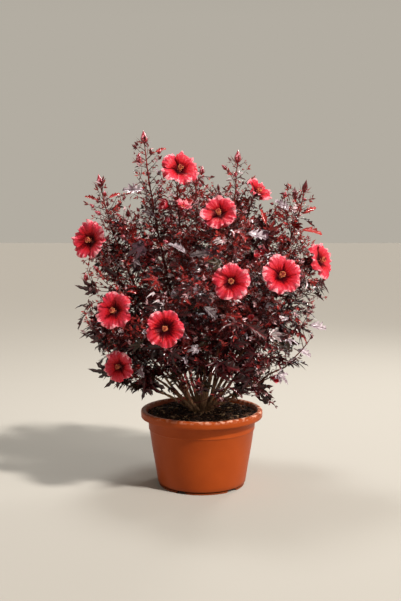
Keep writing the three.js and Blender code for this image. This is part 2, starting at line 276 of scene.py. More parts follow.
sun = bpy.data.objects.new("key", bpy.data.lights.new("key", "SUN"))
sun.data.energy = keyLight["strength"]
sun.data.angle = math.radians(keyLight["angle"])
sun.data.color = linear(keyLight["colour"])[:3]
sun.rotation_euler = (-Vector(keyLight["place"])).to_track_quat("-Z", "Y").to_euler()
bpy.context.collection.objects.link(sun)
for name, light in lights.items():
    lamp = bpy.data.objects.new(name, bpy.data.lights.new(name, "AREA"))
    lamp.data.size = light["size"]
    lamp.data.energy = light["watts"]
    lamp.data.color = linear(light["colour"])[:3]
    lamp.location = light["place"]
    lamp.rotation_euler = (lightAim - lamp.location).to_track_quat("-Z", "Y").to_euler()
    bpy.context.collection.objects.link(lamp)

world = bpy.data.worlds.new("studio")
world.use_nodes = True
dome = world.node_tree
way = addNode(dome, "ShaderNodeSeparateXYZ", inputs={
    "Vector": addNode(dome, "ShaderNodeTexCoord").outputs["Generated"]})
rise = addNode(dome, "ShaderNodeMapRange", inputs={
    "Value": way.outputs["Z"], "From Min": studio["wallRise"][0], "From Max": studio["wallRise"][1]})
shade = addNode(dome, "ShaderNodeMixRGB", inputs={
    "Fac": rise, "Color1": linear(studio["lowWall"]), "Color2": linear(studio["highWall"])})
setInputs(dome, dome.nodes["Background"], {"Color": shade})
bpy.context.scene.world = world
bpy.context.scene.view_settings.view_transform = "Standard"

floorSheet = bmesh.new()
bmesh.ops.create_grid(floorSheet, x_segments=4, y_segments=4, size=studio["reach"])
floor = bpy.data.objects.new("floor", meshOf(floorSheet, "floor", smooth=False))
bpy.context.collection.objects.link(floor)
paper = startMaterial("studio_paper", {"Roughness": 0.9, "Base Color": linear(studio["paper"])})[0]
floor.data.materials.append(paper)
print("camera, light and floor set")


# Materials

# Moulded polypropylene in a terracotta colour: evenly dyed, with a soft sheen off a faintly pebbled
# skin, fine scuffs round the wall, a little dust low down and pale patches of painted highlight on the
# lip, stronger on the right where the light falls. The clouds are about 70 mm wide, the scuffs 24 mm,
# the highlight patches 13 mm and the pebbles 1 mm.
def potPlastic():
    material, tree, shader = startMaterial("moulded_polypropylene", {
        "IOR": 1.49, "Specular IOR Level": 0.17})
    place = addNode(tree, "ShaderNodeTexCoord").outputs["Object"]
    clouds = addNode(tree, "ShaderNodeTexNoise", inputs={"Vector": place, "Scale": 14, "Detail": 4})
    dyed = addNode(tree, "ShaderNodeMixRGB", inputs={
        "Fac": clouds, "Color1": linear("#91390a"), "Color2": linear("#a64611")})
    flat = addNode(tree, "ShaderNodeMapping", inputs={"Vector": place, "Scale": (1, 1, 9)})
    scuffs = addNode(tree, "ShaderNodeTexNoise", inputs={
        "Vector": flat, "Scale": 42, "Detail": 6, "Roughness": 0.7})
    scuffed = addNode(tree, "ShaderNodeMapRange", inputs={
        "Value": scuffs, "From Min": 0.62, "From Max": 0.74, "To Max": 0.16})
    worn = addNode(tree, "ShaderNodeMixRGB", inputs={
        "Fac": scuffed, "Color1": dyed, "Color2": linear("#c0703f")})
    height = addNode(tree, "ShaderNodeSeparateXYZ", inputs={"Vector": place})
    low = addNode(tree, "ShaderNodeMapRange", inputs={
        "Value": height.outputs["Z"], "From Min": 0.022, "From Max": 0.004, "To Max": 0.6})
    dusty = addNode(tree, "ShaderNodeMixRGB", inputs={
        "Fac": low, "Color1": worn, "Color2": linear("#5c3119")})
    # Painted highlight: pale dapples of light on the lip, fading towards the left as the light comes from
    # the right
    lip = addNode(tree, "ShaderNodeMapRange", inputs={
        "Value": height.outputs["Z"], "From Min": 0.24, "From Max": 0.249})
    dapple = addNode(tree, "ShaderNodeTexNoise", inputs={"Vector": place, "Scale": 75, "Detail": 2})
    patches = addNode(tree, "ShaderNodeMapRange", inputs={
        "Value": dapple, "From Min": 0.46, "From Max": 0.6, "To Max": 0.95})
    lipHighlight = addNode(tree, "ShaderNodeMath", {"operation": "MULTIPLY"}, {0: lip, 1: patches})
    lightFromRight = addNode(tree, "ShaderNodeMapRange", inputs={
        "Value": height.outputs["X"], "From Min": -0.1, "From Max": 0.14, "To Min": 0.35})
    paintedLipHighlight = addNode(tree, "ShaderNodeMath", {"operation": "MULTIPLY"}, {0: lipHighlight, 1: lightFromRight})
    finished = addNode(tree, "ShaderNodeMixRGB", inputs={
        "Fac": paintedLipHighlight, "Color1": dusty, "Color2": linear("#e6ac92")})
    rough = addNode(tree, "ShaderNodeMapRange", inputs={
        "Value": scuffs, "From Min": 0.3, "From Max": 0.7, "To Min": 0.36, "To Max": 0.5})
    pebbles = addNode(tree, "ShaderNodeTexNoise", inputs={"Vector": place, "Scale": 900, "Detail": 2})
    bump = addNode(tree, "ShaderNodeBump", inputs={
        "Height": pebbles, "Strength": 0.12, "Distance": 0.0004})
    setInputs(tree, shader, {"Base Color": finished, "Roughness": rough, "Normal": bump})
    return material


# Grainy natural stuff: two near colours cloud into each other, with a matching relief. The grain's size
# and the relief are in millimetres.
def grained(name, dark, light, size, roughness, relief, stretch=(1, 1, 1)):
    material, tree, shader = startMaterial(name, {
        "Roughness": roughness, "IOR": 1.45, "Specular IOR Level": 0.25})
    place = addNode(tree, "ShaderNodeTexCoord").outputs["Object"]
    stretched = addNode(tree, "ShaderNodeMapping", inputs={"Vector": place, "Scale": stretch})
    grain = addNode(tree, "ShaderNodeTexNoise", inputs={
        "Vector": stretched, "Scale": 1000 / size, "Detail": 5, "Roughness": 0.65})
    spread = addNode(tree, "ShaderNodeMapRange", inputs={
        "Value": grain, "From Min": 0.32, "From Max": 0.68})
    colour = addNode(tree, "ShaderNodeMixRGB", inputs={
        "Fac": spread, "Color1": linear(dark), "Color2": linear(light)})
    bump = addNode(tree, "ShaderNodeBump", inputs={
        "Height": grain, "Strength": 0.5, "Distance": relief * metre})
    setInputs(tree, shader, {"Base Color": colour, "Normal": bump})
    return material


# Living leaf: dark tissue under a waxy skin, so that the colour is deep and light glances off it in
# pale patches, with a midrib and side veins along each lobe
def livingLeaf(name, dark, light, vein, roughness=0.36):
    material, tree, shader = startMaterial(name, {
        "Roughness": roughness, "IOR": 1.42, "Specular IOR Level": 0.1, "Coat Weight": 1.0,
        "Coat Roughness": 0.15, "Coat IOR": 1.42})
    place = addNode(tree, "ShaderNodeTexCoord").outputs["Object"]
    mottle = addNode(tree, "ShaderNodeTexNoise", inputs={
        "Vector": place, "Scale": 1000 / 16, "Detail": 3})
    spread = addNode(tree, "ShaderNodeMapRange", inputs={
        "Value": mottle, "From Min": 0.35, "From Max": 0.65})
    tissue = addNode(tree, "ShaderNodeMixRGB", inputs={
        "Fac": spread, "Color1": linear(dark), "Color2": linear(light)})
    ownMap = addNode(tree, "ShaderNodeUVMap", {"uv_map": "ownMap"})
    parts = addNode(tree, "ShaderNodeSeparateXYZ", inputs={"Vector": ownMap})
    across = addNode(tree, "ShaderNodeMath", {"operation": "ABSOLUTE"}, {0: parts.outputs["Y"]})
    midrib = addNode(tree, "ShaderNodeMapRange", inputs={
        "Value": across, "From Min": 0.05, "From Max": 0.16, "To Min": 1, "To Max": 0})
    slanted = addNode(tree, "ShaderNodeMath", {"operation": "MULTIPLY_ADD"}, {
        0: across, 1: -0.16, 2: parts.outputs["X"]})
    rows = addNode(tree, "ShaderNodeMath", {"operation": "MULTIPLY"}, {0: slanted, 1: 44})
    wave = addNode(tree, "ShaderNodeMath", {"operation": "SINE"}, {0: rows})
    sideVeins = addNode(tree, "ShaderNodeMapRange", inputs={
        "Value": wave, "From Min": 0.72, "From Max": 1, "To Max": 0.7})
    veins = addNode(tree, "ShaderNodeMath", {"operation": "MAXIMUM"}, {0: midrib, 1: sideVeins})
    shown = addNode(tree, "ShaderNodeMath", {"operation": "MULTIPLY"}, {0: veins, 1: 0.7})
    colour = addNode(tree, "ShaderNodeMixRGB", inputs={
        "Fac": shown, "Color1": tissue, "Color2": linear(vein)})
    crinkle = addNode(tree, "ShaderNodeTexNoise", inputs={
        "Vector": place, "Scale": 1000 / 5, "Detail": 2})
    relief = addNode(tree, "ShaderNodeMath", {"operation": "SUBTRACT"}, {0: crinkle, 1: veins})
    bump = addNode(tree, "ShaderNodeBump", inputs={
        "Height": relief, "Strength": 0.35, "Distance": 0.0008})
    setInputs(tree, shader, {"Base Color": colour, "Normal": bump})
    return material


# Petal: thin, soft and full of colour, with a satin face, fine veins that fan out from the throat and
# a little light through it
def silkPetal(name, colour, vein, wax=0.0, gleam=0.26):
    material, tree, shader = startMaterial(name, {
        "Roughness": 0.38, "IOR": 1.36, "Specular IOR Level": gleam, "Coat Weight": wax,
        "Coat Roughness": 0.22, "Sheen Weight": 0.06, "Sheen Roughness": 0.4,
        "Subsurface Weight": 0.1, "Subsurface Scale": 0.004})
    ownMap = addNode(tree, "ShaderNodeUVMap", {"uv_map": "ownMap"})
    place = addNode(tree, "ShaderNodeTexCoord").outputs["Object"]
    parts = addNode(tree, "ShaderNodeSeparateXYZ", inputs={"Vector": ownMap})
    waver = addNode(tree, "ShaderNodeTexNoise", inputs={
        "Vector": place, "Scale": 1000 / 9, "Detail": 2})
    bent = addNode(tree, "ShaderNodeMath", {"operation": "MULTIPLY_ADD"}, {
        0: waver, 1: 0.12, 2: parts.outputs["Y"]})
    rows = addNode(tree, "ShaderNodeMath", {"operation": "MULTIPLY"}, {0: bent, 1: 34})
    wave = addNode(tree, "ShaderNodeMath", {"operation": "SINE"}, {0: rows})
    veins = addNode(tree, "ShaderNodeMapRange", inputs={
        "Value": wave, "From Min": 0.5, "From Max": 1, "To Max": 0.35})
    streaked = addNode(tree, "ShaderNodeMixRGB", inputs={
        "Fac": veins, "Color1": linear(colour), "Color2": linear(vein)})
    bump = addNode(tree, "ShaderNodeBump", inputs={
        "Height": wave, "Strength": 0.18, "Distance": 0.0006})
    setInputs(tree, shader, {"Base Color": streaked, "Normal": bump})
    return material


# Pot

pot = {
    "height": 250, "lipRadius": 200, "mouthRadius": 185, "lipDrop": 24, "lipRound": 6, "mouthRound": 3,
    "collarRadius": 177, "collarFootRadius": 174.5, "collarFoot": 188, "step": 2.2,
    "baseRadius": 144, "wallRings": ((0.33, 68), (0.66, 128)), "wall": 4, "floor": 13,
    "footRadius": 141.5, "footHeight": 9, "groove": 7, "underside": 8.5, "turns": 144, "crease": 50,
    "notches": 5, "notchWidth": 32, "notchHeight": 8, "notchDepth": 16, "notchedBelow": 5.6,
    "firstNotch": -118.4,
}


# A line of points in the XZ plane, turned about the Z axis into a closed skin
def spun(bm, profile, turns):
    verts = [bm.verts.new((radius, 0, height)) for radius, height in profile]
    edges = [bm.edges.new(pair) for pair in zip(verts, verts[1:])]
    bmesh.ops.spin(bm, geom=verts + edges, cent=(0, 0, 0), axis=(0, 0, 1), angle=2 * math.pi,
                   steps=turns, use_merge=True)
    bmesh.ops.remove_doubles(bm, verts=bm.verts, dist=0.01)


# Small numbers in the profile round its edges
def makePot():
    height = pot["height"]
    under = height - pot["lipDrop"]
    lip = pot["lipRadius"]
    lipRound = pot["lipRound"]
    mouth = pot["mouthRadius"]
    mouthRound = pot["mouthRound"]
    collar = pot["collarRadius"]
    bead = pot["collarFootRadius"]
    beadHeight = pot["collarFoot"]
    step = pot["step"]
    base = pot["baseRadius"]
    wall = pot["wall"]
    foot = pot["footRadius"]
    footHeight = pot["footHeight"]
    notchEnd = foot - pot["notchDepth"]
    rim = [(lip - lipRound + lipRound * math.cos(a), height - lipRound + lipRound * math.sin(a))
           for a in np.radians([0, 18, 36, 54, 72, 90])]
    inner = [(mouth + mouthRound - 4.5 * math.sin(a), height - mouthRound + mouthRound * math.cos(a))
             for a in np.radians([0, 30, 60, 90])]
    profile = [
        (0, pot["underside"]), (notchEnd, pot["underside"]), (notchEnd + 1, 0), (foot - 1.2, 0),
        (foot, 1.2), (foot - 0.4, footHeight - 4.4), (foot - pot["groove"], footHeight - 3.6),
        (foot - pot["groove"], footHeight + 0.6), (base + 0.4, footHeight + 1.2),
        (base + 1.3, footHeight + 3.2),
        *[(mixed(base, bead, share), ringHeight) for share, ringHeight in pot["wallRings"]],
        (bead - step - 0.2, beadHeight - step - 1), (bead - step + 0.4, beadHeight - step + 0.4),
        (bead + 0.1, beadHeight - 0.4), (bead + 0.4, beadHeight + 1), (bead, beadHeight + 3.2),
        (collar, under - 1.5), (collar + 1.5, under + 1.2), (lip - 5.5, under + 2.2),
        (lip - 4, under + 0.4), (lip - 1.8, under), (lip - 0.7, under + 1.4), (lip - 0.2, under + 8),
        *rim, *inner, (mouth - 1.8, height - 5), (collar - wall, under), (collar - wall - 2, 200),
        (base - wall, pot["floor"] + 3), (base - wall - 4, pot["floor"]), (0, pot["floor"]),
    ]
    bm = bmesh.new()
    spun(bm, profile, pot["turns"])
    # Drainage notches: the foot's lowest rings are lifted where each one stands
    half = pot["notchWidth"] / 2 / foot
    apart = 2 * math.pi / pot["notches"]
    for vert in bm.verts:
        if vert.co.z > pot["notchedBelow"]:
            continue
        angle = math.atan2(vert.co.y, vert.co.x) - math.radians(pot["firstNotch"])
        off = abs((angle + apart / 2) % apart - apart / 2)
        if off < half:
            vert.co.z = pot["notchHeight"]
    bmesh.ops.recalc_face_normals(bm, faces=bm.faces)
    mesh = meshOf(bm, "pot_shell")
    mesh.set_sharp_from_angle(angle=math.radians(pot["crease"]))
    addPiece("pot_shell", mesh, [potPlastic()], ["pot"])
    print("pot_shell:", len(mesh.polygons), "faces")


makePot()


# Soil: moist bark compost, nearly black, with crumbs and pale strips of bark lying on it

soil = {
    "radius": 177.6,  # where its edge meets the pot, as in the part's source
    "edgeHeight": 238, "crownHeight": 243, "crownRadius": 60, "moundHeight": 4, "moundRadius": 55,
    "rings": 44, "turns": 120, "chips": 900, "chipSize": (5, 20), "crumbs": 1900, "crumbSize": (3, 8),
}
soilDark = grained("moist_compost", "#0b0604", "#25160e", 5, 0.9, 2.5)
chipColours = [
    grained("dark_bark_chip", "#1a0e09", "#3a2418", 4, 0.85, 0.8),
    grained("brown_bark_chip", "#3b2416", "#6b4630", 4, 0.8, 0.8),
    grained("pale_wood_strip", "#7f6448", "#b09470", 3, 0.75, 0.5),
]


def soilHeight(reach):
    share = clamped((reach - soil["crownRadius"]) / (soil["radius"] - soil["crownRadius"]))
    mound = soil["moundHeight"] * clamped(1 - reach / soil["moundRadius"])
    return mixed(soil["crownHeight"], soil["edgeHeight"], share) + mound


def makeSoil():
    inner = pot["collarRadius"] - pot["wall"]
    reaches = np.linspace(soil["radius"] - 0.4, 0, soil["rings"])
    rings = [(reach, soilHeight(reach)) for reach in reaches]
    profile = [(0, pot["floor"] + 0.3), (pot["baseRadius"] - 9, pot["floor"] + 0.3),
               (inner - 3, 200), (inner - 1.5, 225), *rings]
    bm = bmesh.new()
    spun(bm, profile, soil["turns"])
    for vert in bm.verts:
        reach = math.hypot(vert.co.x, vert.co.y)
        if vert.co.z > 230:
            lumps = noise.fractal(vert.co * 0.045, 0.7, 2.1, 4) * 3.2 + noise.noise(vert.co * 0.3) * 1.6
            vert.co.z += lumps * clamped((soil["radius"] - reach) / 6) - 1.5
    bmesh.ops.recalc_face_normals(bm, faces=bm.faces)
    addPiece("soil_surface", meshOf(bm, "soil_surface"), [soilDark], ["potting_soil"])

    chip = bmesh.new()
    bmesh.ops.create_cube(chip, size=1)
    bmesh.ops.scale(chip, vec=(1, 0.34, 0.16), verts=chip.verts)
    for vert in chip.verts:
        vert.co.y += 0.12 * vert.co.x * (1 if vert.co.z > 0 else -1)
        vert.co.z += 0.06 * math.sin(5 * vert.co.x + 3 * vert.co.y)
    bmesh.ops.bevel(chip, geom=chip.edges[:], offset=0.05, segments=1, profile=0.5, affect="EDGES",
                    material=-1)
    crumb = bmesh.new()
    bmesh.ops.create_icosphere(crumb, subdivisions=1, radius=0.5)
    for vert in crumb.verts:
        vert.co *= 1 + 0.45 * noise.noise(vert.co * 3.1)
    templates = [templateOf(chip), templateOf(crumb)]
    # Each kind: template, how many, sizes, how much rarer the large ones are, shares of its first colours
    kinds = [(0, soil["chips"], soil["chipSize"], 1.8, (0.55, 0.86)),
             (1, soil["crumbs"], soil["crumbSize"], 2, (0.8,))]
    draw = seeded(90, 1)
    sprays = []
    for template, count, sizes, rarer, shares in kinds:
        for _ in range(count):
            reach = (soil["radius"] - 5) * math.sqrt(draw())
            turn = 2 * math.pi * draw()
            size = mixed(*sizes, draw() ** rarer)
            along = (math.cos(turn * 7), math.sin(turn * 7), 0.5 * (draw() - 0.5))
            upward = (0.7 * (draw() - 0.5), 0.7 * (draw() - 0.5), 1)
            height = soilHeight(reach) + size * 0.12 - 1
            place = (reach * math.cos(turn), reach * math.sin(turn), height)
            pick = draw()
            colour = sum(pick >= share for share in shares)
            axes = axesOf(along, upward, size, mixed(0.6, 1.3, draw()))
            sprays.append((template, axes, place, colour))
    joinSprays("bark_mulch", sprays, templates, chipColours, len(chipColours), ["potting_soil"])


makeSoil()


# Stems, as in the part's source

rootCrown = {"footRadius": 46, "topRadius": 41, "height": 7, "turns": 72}
clearance = 0.3
crownFoot = soil["crownHeight"] + clearance
crownTop = crownFoot + rootCrown["height"]
stemFoot = {"thinnest": 3.9, "thickest": 5.2, "tip": 1.5, "flare": 1.1, "flareFade": 30}
stemRings = [(9.5, 4), (22, 8), (34.5, 20)]  # radius of each ring of feet, and how many it holds
stemSamples = 22
wander = {"span": 60, "amount": 7}
bareLength = {"share": 0.24, "least": 105}
bend = {"leaving": 0.4, "arriving": 0.3, "intoBloom": 0.13}
twig = {
    "spacing": 68, "length": 165, "shortest": 30, "opening": 56, "radius": 2.2, "lift": 0.12,
    "tested": 6, "shrink": 0.84, "inset": 42,
}
bloom = {"radius": 58, "depth": 20, "airAhead": 95, "airBehind": 26, "airBeside": 5, "airNarrows": 0.25}
goldenAngle = math.radians(137.5)
spaceMargin = 1.6
outline = {"middle": 660, "radius": 428, "above": 560, "below": 455, "lowest": 276, "depth": 0.93}
up = np.array((0.0, 0.0, 1.0))

# name, tip, and for a stem that ends in a bloom the way it faces and its scale
stemList = [
    ("left_spire", (-180, -60, 1112)), ("right_spire", (112, -60, 1052)),
    ("right_shoulder", (325, -40, 960)), ("left_shoulder", (-322, -30, 978)),
    ("back_spire", (-20, 150, 985)), ("top_bloom", (-69, -110, 1025), (0.25, -0.8, 0.55)),
    ("high_front", (52, -190, 890), (-0.15, -0.82, 0.52), 0.97),
    ("high_right", (179, 10, 956), (0.52, -0.5, 0.7), 0.95),
    ("high_back", (62, 265, 846), (0.1, 1, 0.4)),
    ("left_bloom", (-352, -60, 804), (-0.6, -1, 0.3), 1.06),
    ("right_bloom", (372, -80, 742), (0.8, -0.62, 0.32)),
    ("back_left", (-208, 262, 748), (-0.6, 1, 0.25)), ("back_right", (218, 262, 715), (0.8, 1, 0.2)),
    ("front_middle", (84, -335, 696), (0, -1, 0.25), 0.95),
    ("front_right", (236, -240, 706), (0.25, -1, 0.45), 1.04),
    ("left_middle", (-265, -210, 597), (-0.4, -1, 0.3)),
    ("back_middle", (-30, 352, 640), (-0.1, 1, 0.2)),
    ("front_low", (-106, -345, 561), (0, -1, 0.2), 0.95),
    ("left_low", (-255, -170, 420), (-0.45, -1, 0.1), 0.86), ("right_low", (345, -40, 480)),
    ("far_left", (-345, 50, 560)), ("low_right_bloom", (226, -75, 366), (0.8, -0.8, 0), 0.5),
    ("front_right_low", (190, -255, 430)), ("front_left_low", (-45, -300, 392)),
    ("back_right_low", (215, 285, 545), (0.5, 1, 0.1)),
    ("back_left_low", (-245, 235, 480), (-0.7, 1, 0.1)), ("back_low", (20, 355, 440)),
]
stems = []
for index, (name, end, *rest) in enumerate(stemList):
    stems.append({
        "index": index, "name": name, "end": np.array(end, dtype=float),
        "faces": unit(rest[0]) if rest else None, "scale": rest[1] if len(rest) > 1 else 1.0,
    })


def pointAt(line, t):
    u = 1 - t
    return u ** 3 * line[0] + 3 * u * u * t * line[1] + 3 * u * t * t * line[2] + t ** 3 * line[3]


# A place on a stem, with the small wander that its wood has grown with, another one for each stem
def stemPoint(stem, t):
    along = t * stem["reach"] / wander["span"]
    drift = [noise.noise(Vector((along, stem["index"] * 7.3, n * 9.1))) for n in range(3)]
    amount = wander["amount"] * math.sin(math.pi * clamped(t))
    return pointAt(stem["line"], t) + amount * np.array(drift)


def tangentAt(line, t):
    u = 1 - t
    first, second, third = np.diff(line, axis=0)
    return unit(u * u * first + 2 * u * t * second + t * t * third)


# The most upright stems stand in the middle of the root crown, the others round them
def footPlaces():
    def lean(stem):
        x, y, z = stem["end"]
        return math.hypot(x, y) / (z - crownTop)

    def angleOf(stem):
        return math.atan2(stem["end"][1], stem["end"][0])

    waiting = sorted(stems, key=lean)
    for radius, holds in stemRings:
        here = sorted(waiting[:holds], key=angleOf)
        waiting = waiting[holds:]
        turn = 2 * math.pi / len(here)
        offset = sum(angleOf(stem) - k * turn for k, stem in enumerate(here)) / len(here)
        for k, stem in enumerate(here):
            angle = offset + k * turn
            stem["foot"] = np.array((radius * math.cos(angle), radius * math.sin(angle),
                                     crownTop + clearance))


# A stem's line: the four points of a curve that leaves outwards and arrives upright, or into its bloom
def lineOf(stem):
    foot = stem["foot"]
    tip = stem["end"].copy()
    if stem["faces"] is not None:
        tip -= stem["faces"] * bloom["depth"] * stem["scale"]
    reach = np.linalg.norm(tip - foot)
    outward = np.array((tip[0] - foot[0], tip[1] - foot[1], 0.0))
    rise = tip[2] - foot[2]
    leaving = unit(outward * 1.15 + up * rise)
    if stem["faces"] is not None:
        arriving = unit(stem["faces"] + leaving * 0.15 + up * 0.3)
        held = bend["intoBloom"]
    else:
        arriving = unit(outward * 0.45 + up * rise)
        held = bend["arriving"]
    return np.array([foot, foot + leaving * reach * bend["leaving"],
                     tip - arriving * reach * held, tip])


footPlaces()
for stem in stems:
    stem["line"] = lineOf(stem)
    fine = np.array([pointAt(stem["line"], t) for t in np.linspace(0, 1, 201)])
    stem["reach"] = np.linalg.norm(np.diff(fine, axis=0), axis=1).sum()
    stem["thick"] = mixed(stemFoot["thinnest"], stemFoot["thickest"], clamped(stem["reach"] / 900))
    stem["bare"] = max(bareLength["share"], bareLength["least"] / stem["reach"])

samples = np.array([[pointAt(s["line"], t) for t in np.linspace(0, 1, stemSamples + 1)] for s in stems])
segmentStarts = samples[:, :-1].reshape(-1, 3)
segmentRuns = (samples[:, 1:] - samples[:, :-1]).reshape(-1, 3)
segmentSquares = (segmentRuns ** 2).sum(axis=1)


def radiusAt(stem, t):
    flare = stemFoot["flare"] * math.exp(-t * stemFoot["flareFade"])
    return mixed(stem["thick"], stemFoot["tip"], t) + flare


# How far each place lies from each stem's line
def stemDistances(places):
    apart = places[:, None, :] - segmentStarts[None]
    share = np.clip(np.einsum("nsk,sk->ns", apart, segmentRuns) / segmentSquares, 0, 1)
    off = apart - share[..., None] * segmentRuns
    squares = np.einsum("nsk,nsk->ns", off, off)
    return np.sqrt(squares.reshape(len(places), len(stems), stemSamples).min(axis=2))


# Small blossoms that show beside the stems' own: place, way it faces, scale, how far it has opened
sideBlooms = [
    ((-62, -95, 905), (0.35, -0.35, 0.9), 0.66, 0.6), ((-104, -85, 912), (-0.8, -0.5, 0.4), 0.66, 0.3),
    ((147, -200, 569), (0.2, -0.8, 0.7), 0.36, 0.3),
    ((168, -150, 753), (0.1, -0.6, 0.9), 0.34, 0.3),
]
bloomStems = [stem for stem in stems if stem["faces"] is not None]
bloomCentres = np.array([stem["end"] for stem in bloomStems] + [side[0] for side in sideBlooms])
bloomFaces = np.array([stem["faces"] for stem in bloomStems] + [unit(side[1]) for side in sideBlooms])
bloomScales = np.array([stem["scale"] for stem in bloomStems] + [side[2] for side in sideBlooms])


# Whether a place is in the air that a bloom keeps free round it, which narrows ahead of the bloom
def touchesBloom(places):
    apart = places[:, None, :] - bloomCentres[None]
    ahead = (apart * bloomFaces[None]).sum(axis=2)
    beside = np.sqrt(np.maximum((apart ** 2).sum(axis=2) - ahead ** 2, 0))
    room = (bloom["radius"] + bloom["airBeside"]) * bloomScales - ahead * bloom["airNarrows"]
    near = (ahead > -bloom["airBehind"] * bloomScales) & (ahead < bloom["airAhead"]) & (beside < room)
    return near.any()


def withinOutline(places, inset):
    side = np.where(places[:, 2] > outline["middle"], outline["above"], outline["below"])
    across = np.hypot(places[:, 0], places[:, 1] / outline["depth"]) / outline["radius"]
    out = np.hypot(across, (places[:, 2] - outline["middle"]) / side)
    return (places[:, 2] > outline["lowest"]).all() and (out < 1 - inset / outline["radius"]).all()


# A stem's own space is what lies nearer to it than to the others, inside the crown's outline
def inOwnSpace(places, index, room, inset=0.0):
    if not withinOutline(places, inset) or touchesBloom(places):
        return False
    apart = stemDistances(places)
    own = apart[:, index].copy()
    apart[:, index] = np.inf
    return (apart.min(axis=1) > own + 2 * room).all()


# A twig that opens out from the stem, lifted a little to the light and shortened until it fits
def fittedTwig(index, root, way, length, room, inset, shortest):
    reach = length
    while reach > shortest:
        tip = root + way * reach + up * reach * twig["lift"]
        places = root + (tip - root) * np.linspace(1 / twig["tested"], 1, twig["tested"])[:, None]
        if inOwnSpace(places, index, room, inset):
            return tip, reach
        reach *= twig["shrink"]
    return None


# The longest of the twigs that fit when tried in three directions round the stem
def bestTwig(stem, root, along, turn, opening, length, room, inset, shortest):
    best = None
    for third in range(3):
        angle = turn + third * 2 * math.pi / 3
        across = np.array((math.cos(angle), math.sin(angle), 0.0))
        across = unit(across - along * across.dot(along))
        way = across * math.sin(opening) + along * math.cos(opening)
        found = fittedTwig(stem["index"], root, way, length, room, inset, shortest)
        if found and (best is None or found[1] > best[1]):
            best = found
    return best


# Growth: what the crown carries beyond the source's twigs

growth = {
    "largeLeaf": (62, 104), "smallLeaf": (18, 39), "sprig": (9, 20), "bud": (0.5, 0.85),
    "leafSpacing": 28, "nodeSpacing": 11, "fineSpacing": 8.6, "fineOnTwig": 8.6,
    "fineLength": (34, 104), "fineRadius": 1.35, "fineOpening": (32, 66), "fineOpeningOnTwig": (35, 70),
    "interlock": -22,  # how far leaves may reach into a neighbour's space
    "lastLargeLeaf": 940, "thinAbove": 920,
}
# How many of the fine twigs stand near the tips of the tall stems that end in a bud
tipTwigs = {
    "left_spire": 0.8, "right_spire": 1, "right_shoulder": 0.5, "left_shoulder": 0.6, "back_spire": 0.8,
}
wood = {"dark": 0, "wine": 1, "red": 2}  # numbers of the twig materials
leafSprays, smallSprays, sprigSprays, budSprays, bloomSprays = [], [], [], [], []
twigPaths, finePaths = [], []

# Leaf materials: name, dark and light tissue, and veins. The silver sheen and the pale glint are painted
# highlights, and the mauve sheen is partly the leaves' own tone and partly painted sheen.
leafColours = [
    ("leaf_plum_black", "#150607", "#280e10", "#50191f"),
    ("leaf_dark_plum", "#260809", "#3c1012", "#74242a"),
    ("leaf_wine", "#5a0d0e", "#801a1a", "#aa3632"),
    ("leaf_young_red", "#7c0e0f", "#a81e1d", "#c2443e"),
    ("leaf_bronze_green", "#1e170e", "#352a18", "#5e3a2c"),
    ("leaf_bright_red", "#880f15", "#ae1e22", "#c24240"),
    ("leaf_mauve_painted_sheen", "#35212a", "#563b47", "#74424f"),
    ("leaf_painted_silver_sheen", "#7c6470", "#ded0d8", "#44222c"),
    ("leaf_painted_pale_glint", "#dcc6cc", "#fcf4f4", "#c88890"),
]
# How likely each of them is low, midway and high in the crown
leafMix = {"low": (0.58, 0.26, 0.02, 0.0, 0.14, 0.0, 0.0, 0.0, 0.0),
           "middle": (0.4, 0.4, 0.05, 0.0, 0.02, 0.0, 0.05, 0.08, 0.0),
           "high": (0.08, 0.5, 0.24, 0.02, 0.0, 0.0, 0.06, 0.1, 0.0)}
smallMix = {"low": (0.46, 0.3, 0.1, 0.0, 0.12, 0.0, 0.0, 0.0, 0.02),
            "middle": (0.16, 0.24, 0.25, 0.15, 0.02, 0.03, 0.0, 0.03, 0.14),
            "high": (0.07, 0.19, 0.34, 0.23, 0.0, 0.05, 0.0, 0.02, 0.11)}
sprigMix = {"low": (0.4, 0.36, 0.1, 0.0, 0.1, 0.0, 0.0, 0.0, 0.04),
            "middle": (0.07, 0.14, 0.3, 0.23, 0.0, 0.07, 0.0, 0.01, 0.24),
            "high": (0.04, 0.1, 0.32, 0.31, 0.0, 0.11, 0.0, 0.01, 0.15)}


# How far a height has come from one level to another, from 0 to 1
def rising(height, low, high):
    return clamped((height - low) / (high - low))


def colourAt(height, mix, draw):
    if height < 560:
        weights = [mixed(a, b, rising(height, 330, 560)) for a, b in zip(mix["low"], mix["middle"])]
    else:
        weights = [mixed(a, b, rising(height, 640, 970)) for a, b in zip(mix["middle"], mix["high"])]
    pick = draw() * sum(weights)
    for number, weight in enumerate(weights):
        pick -= weight
        if pick < 0:
            return number
    return 1


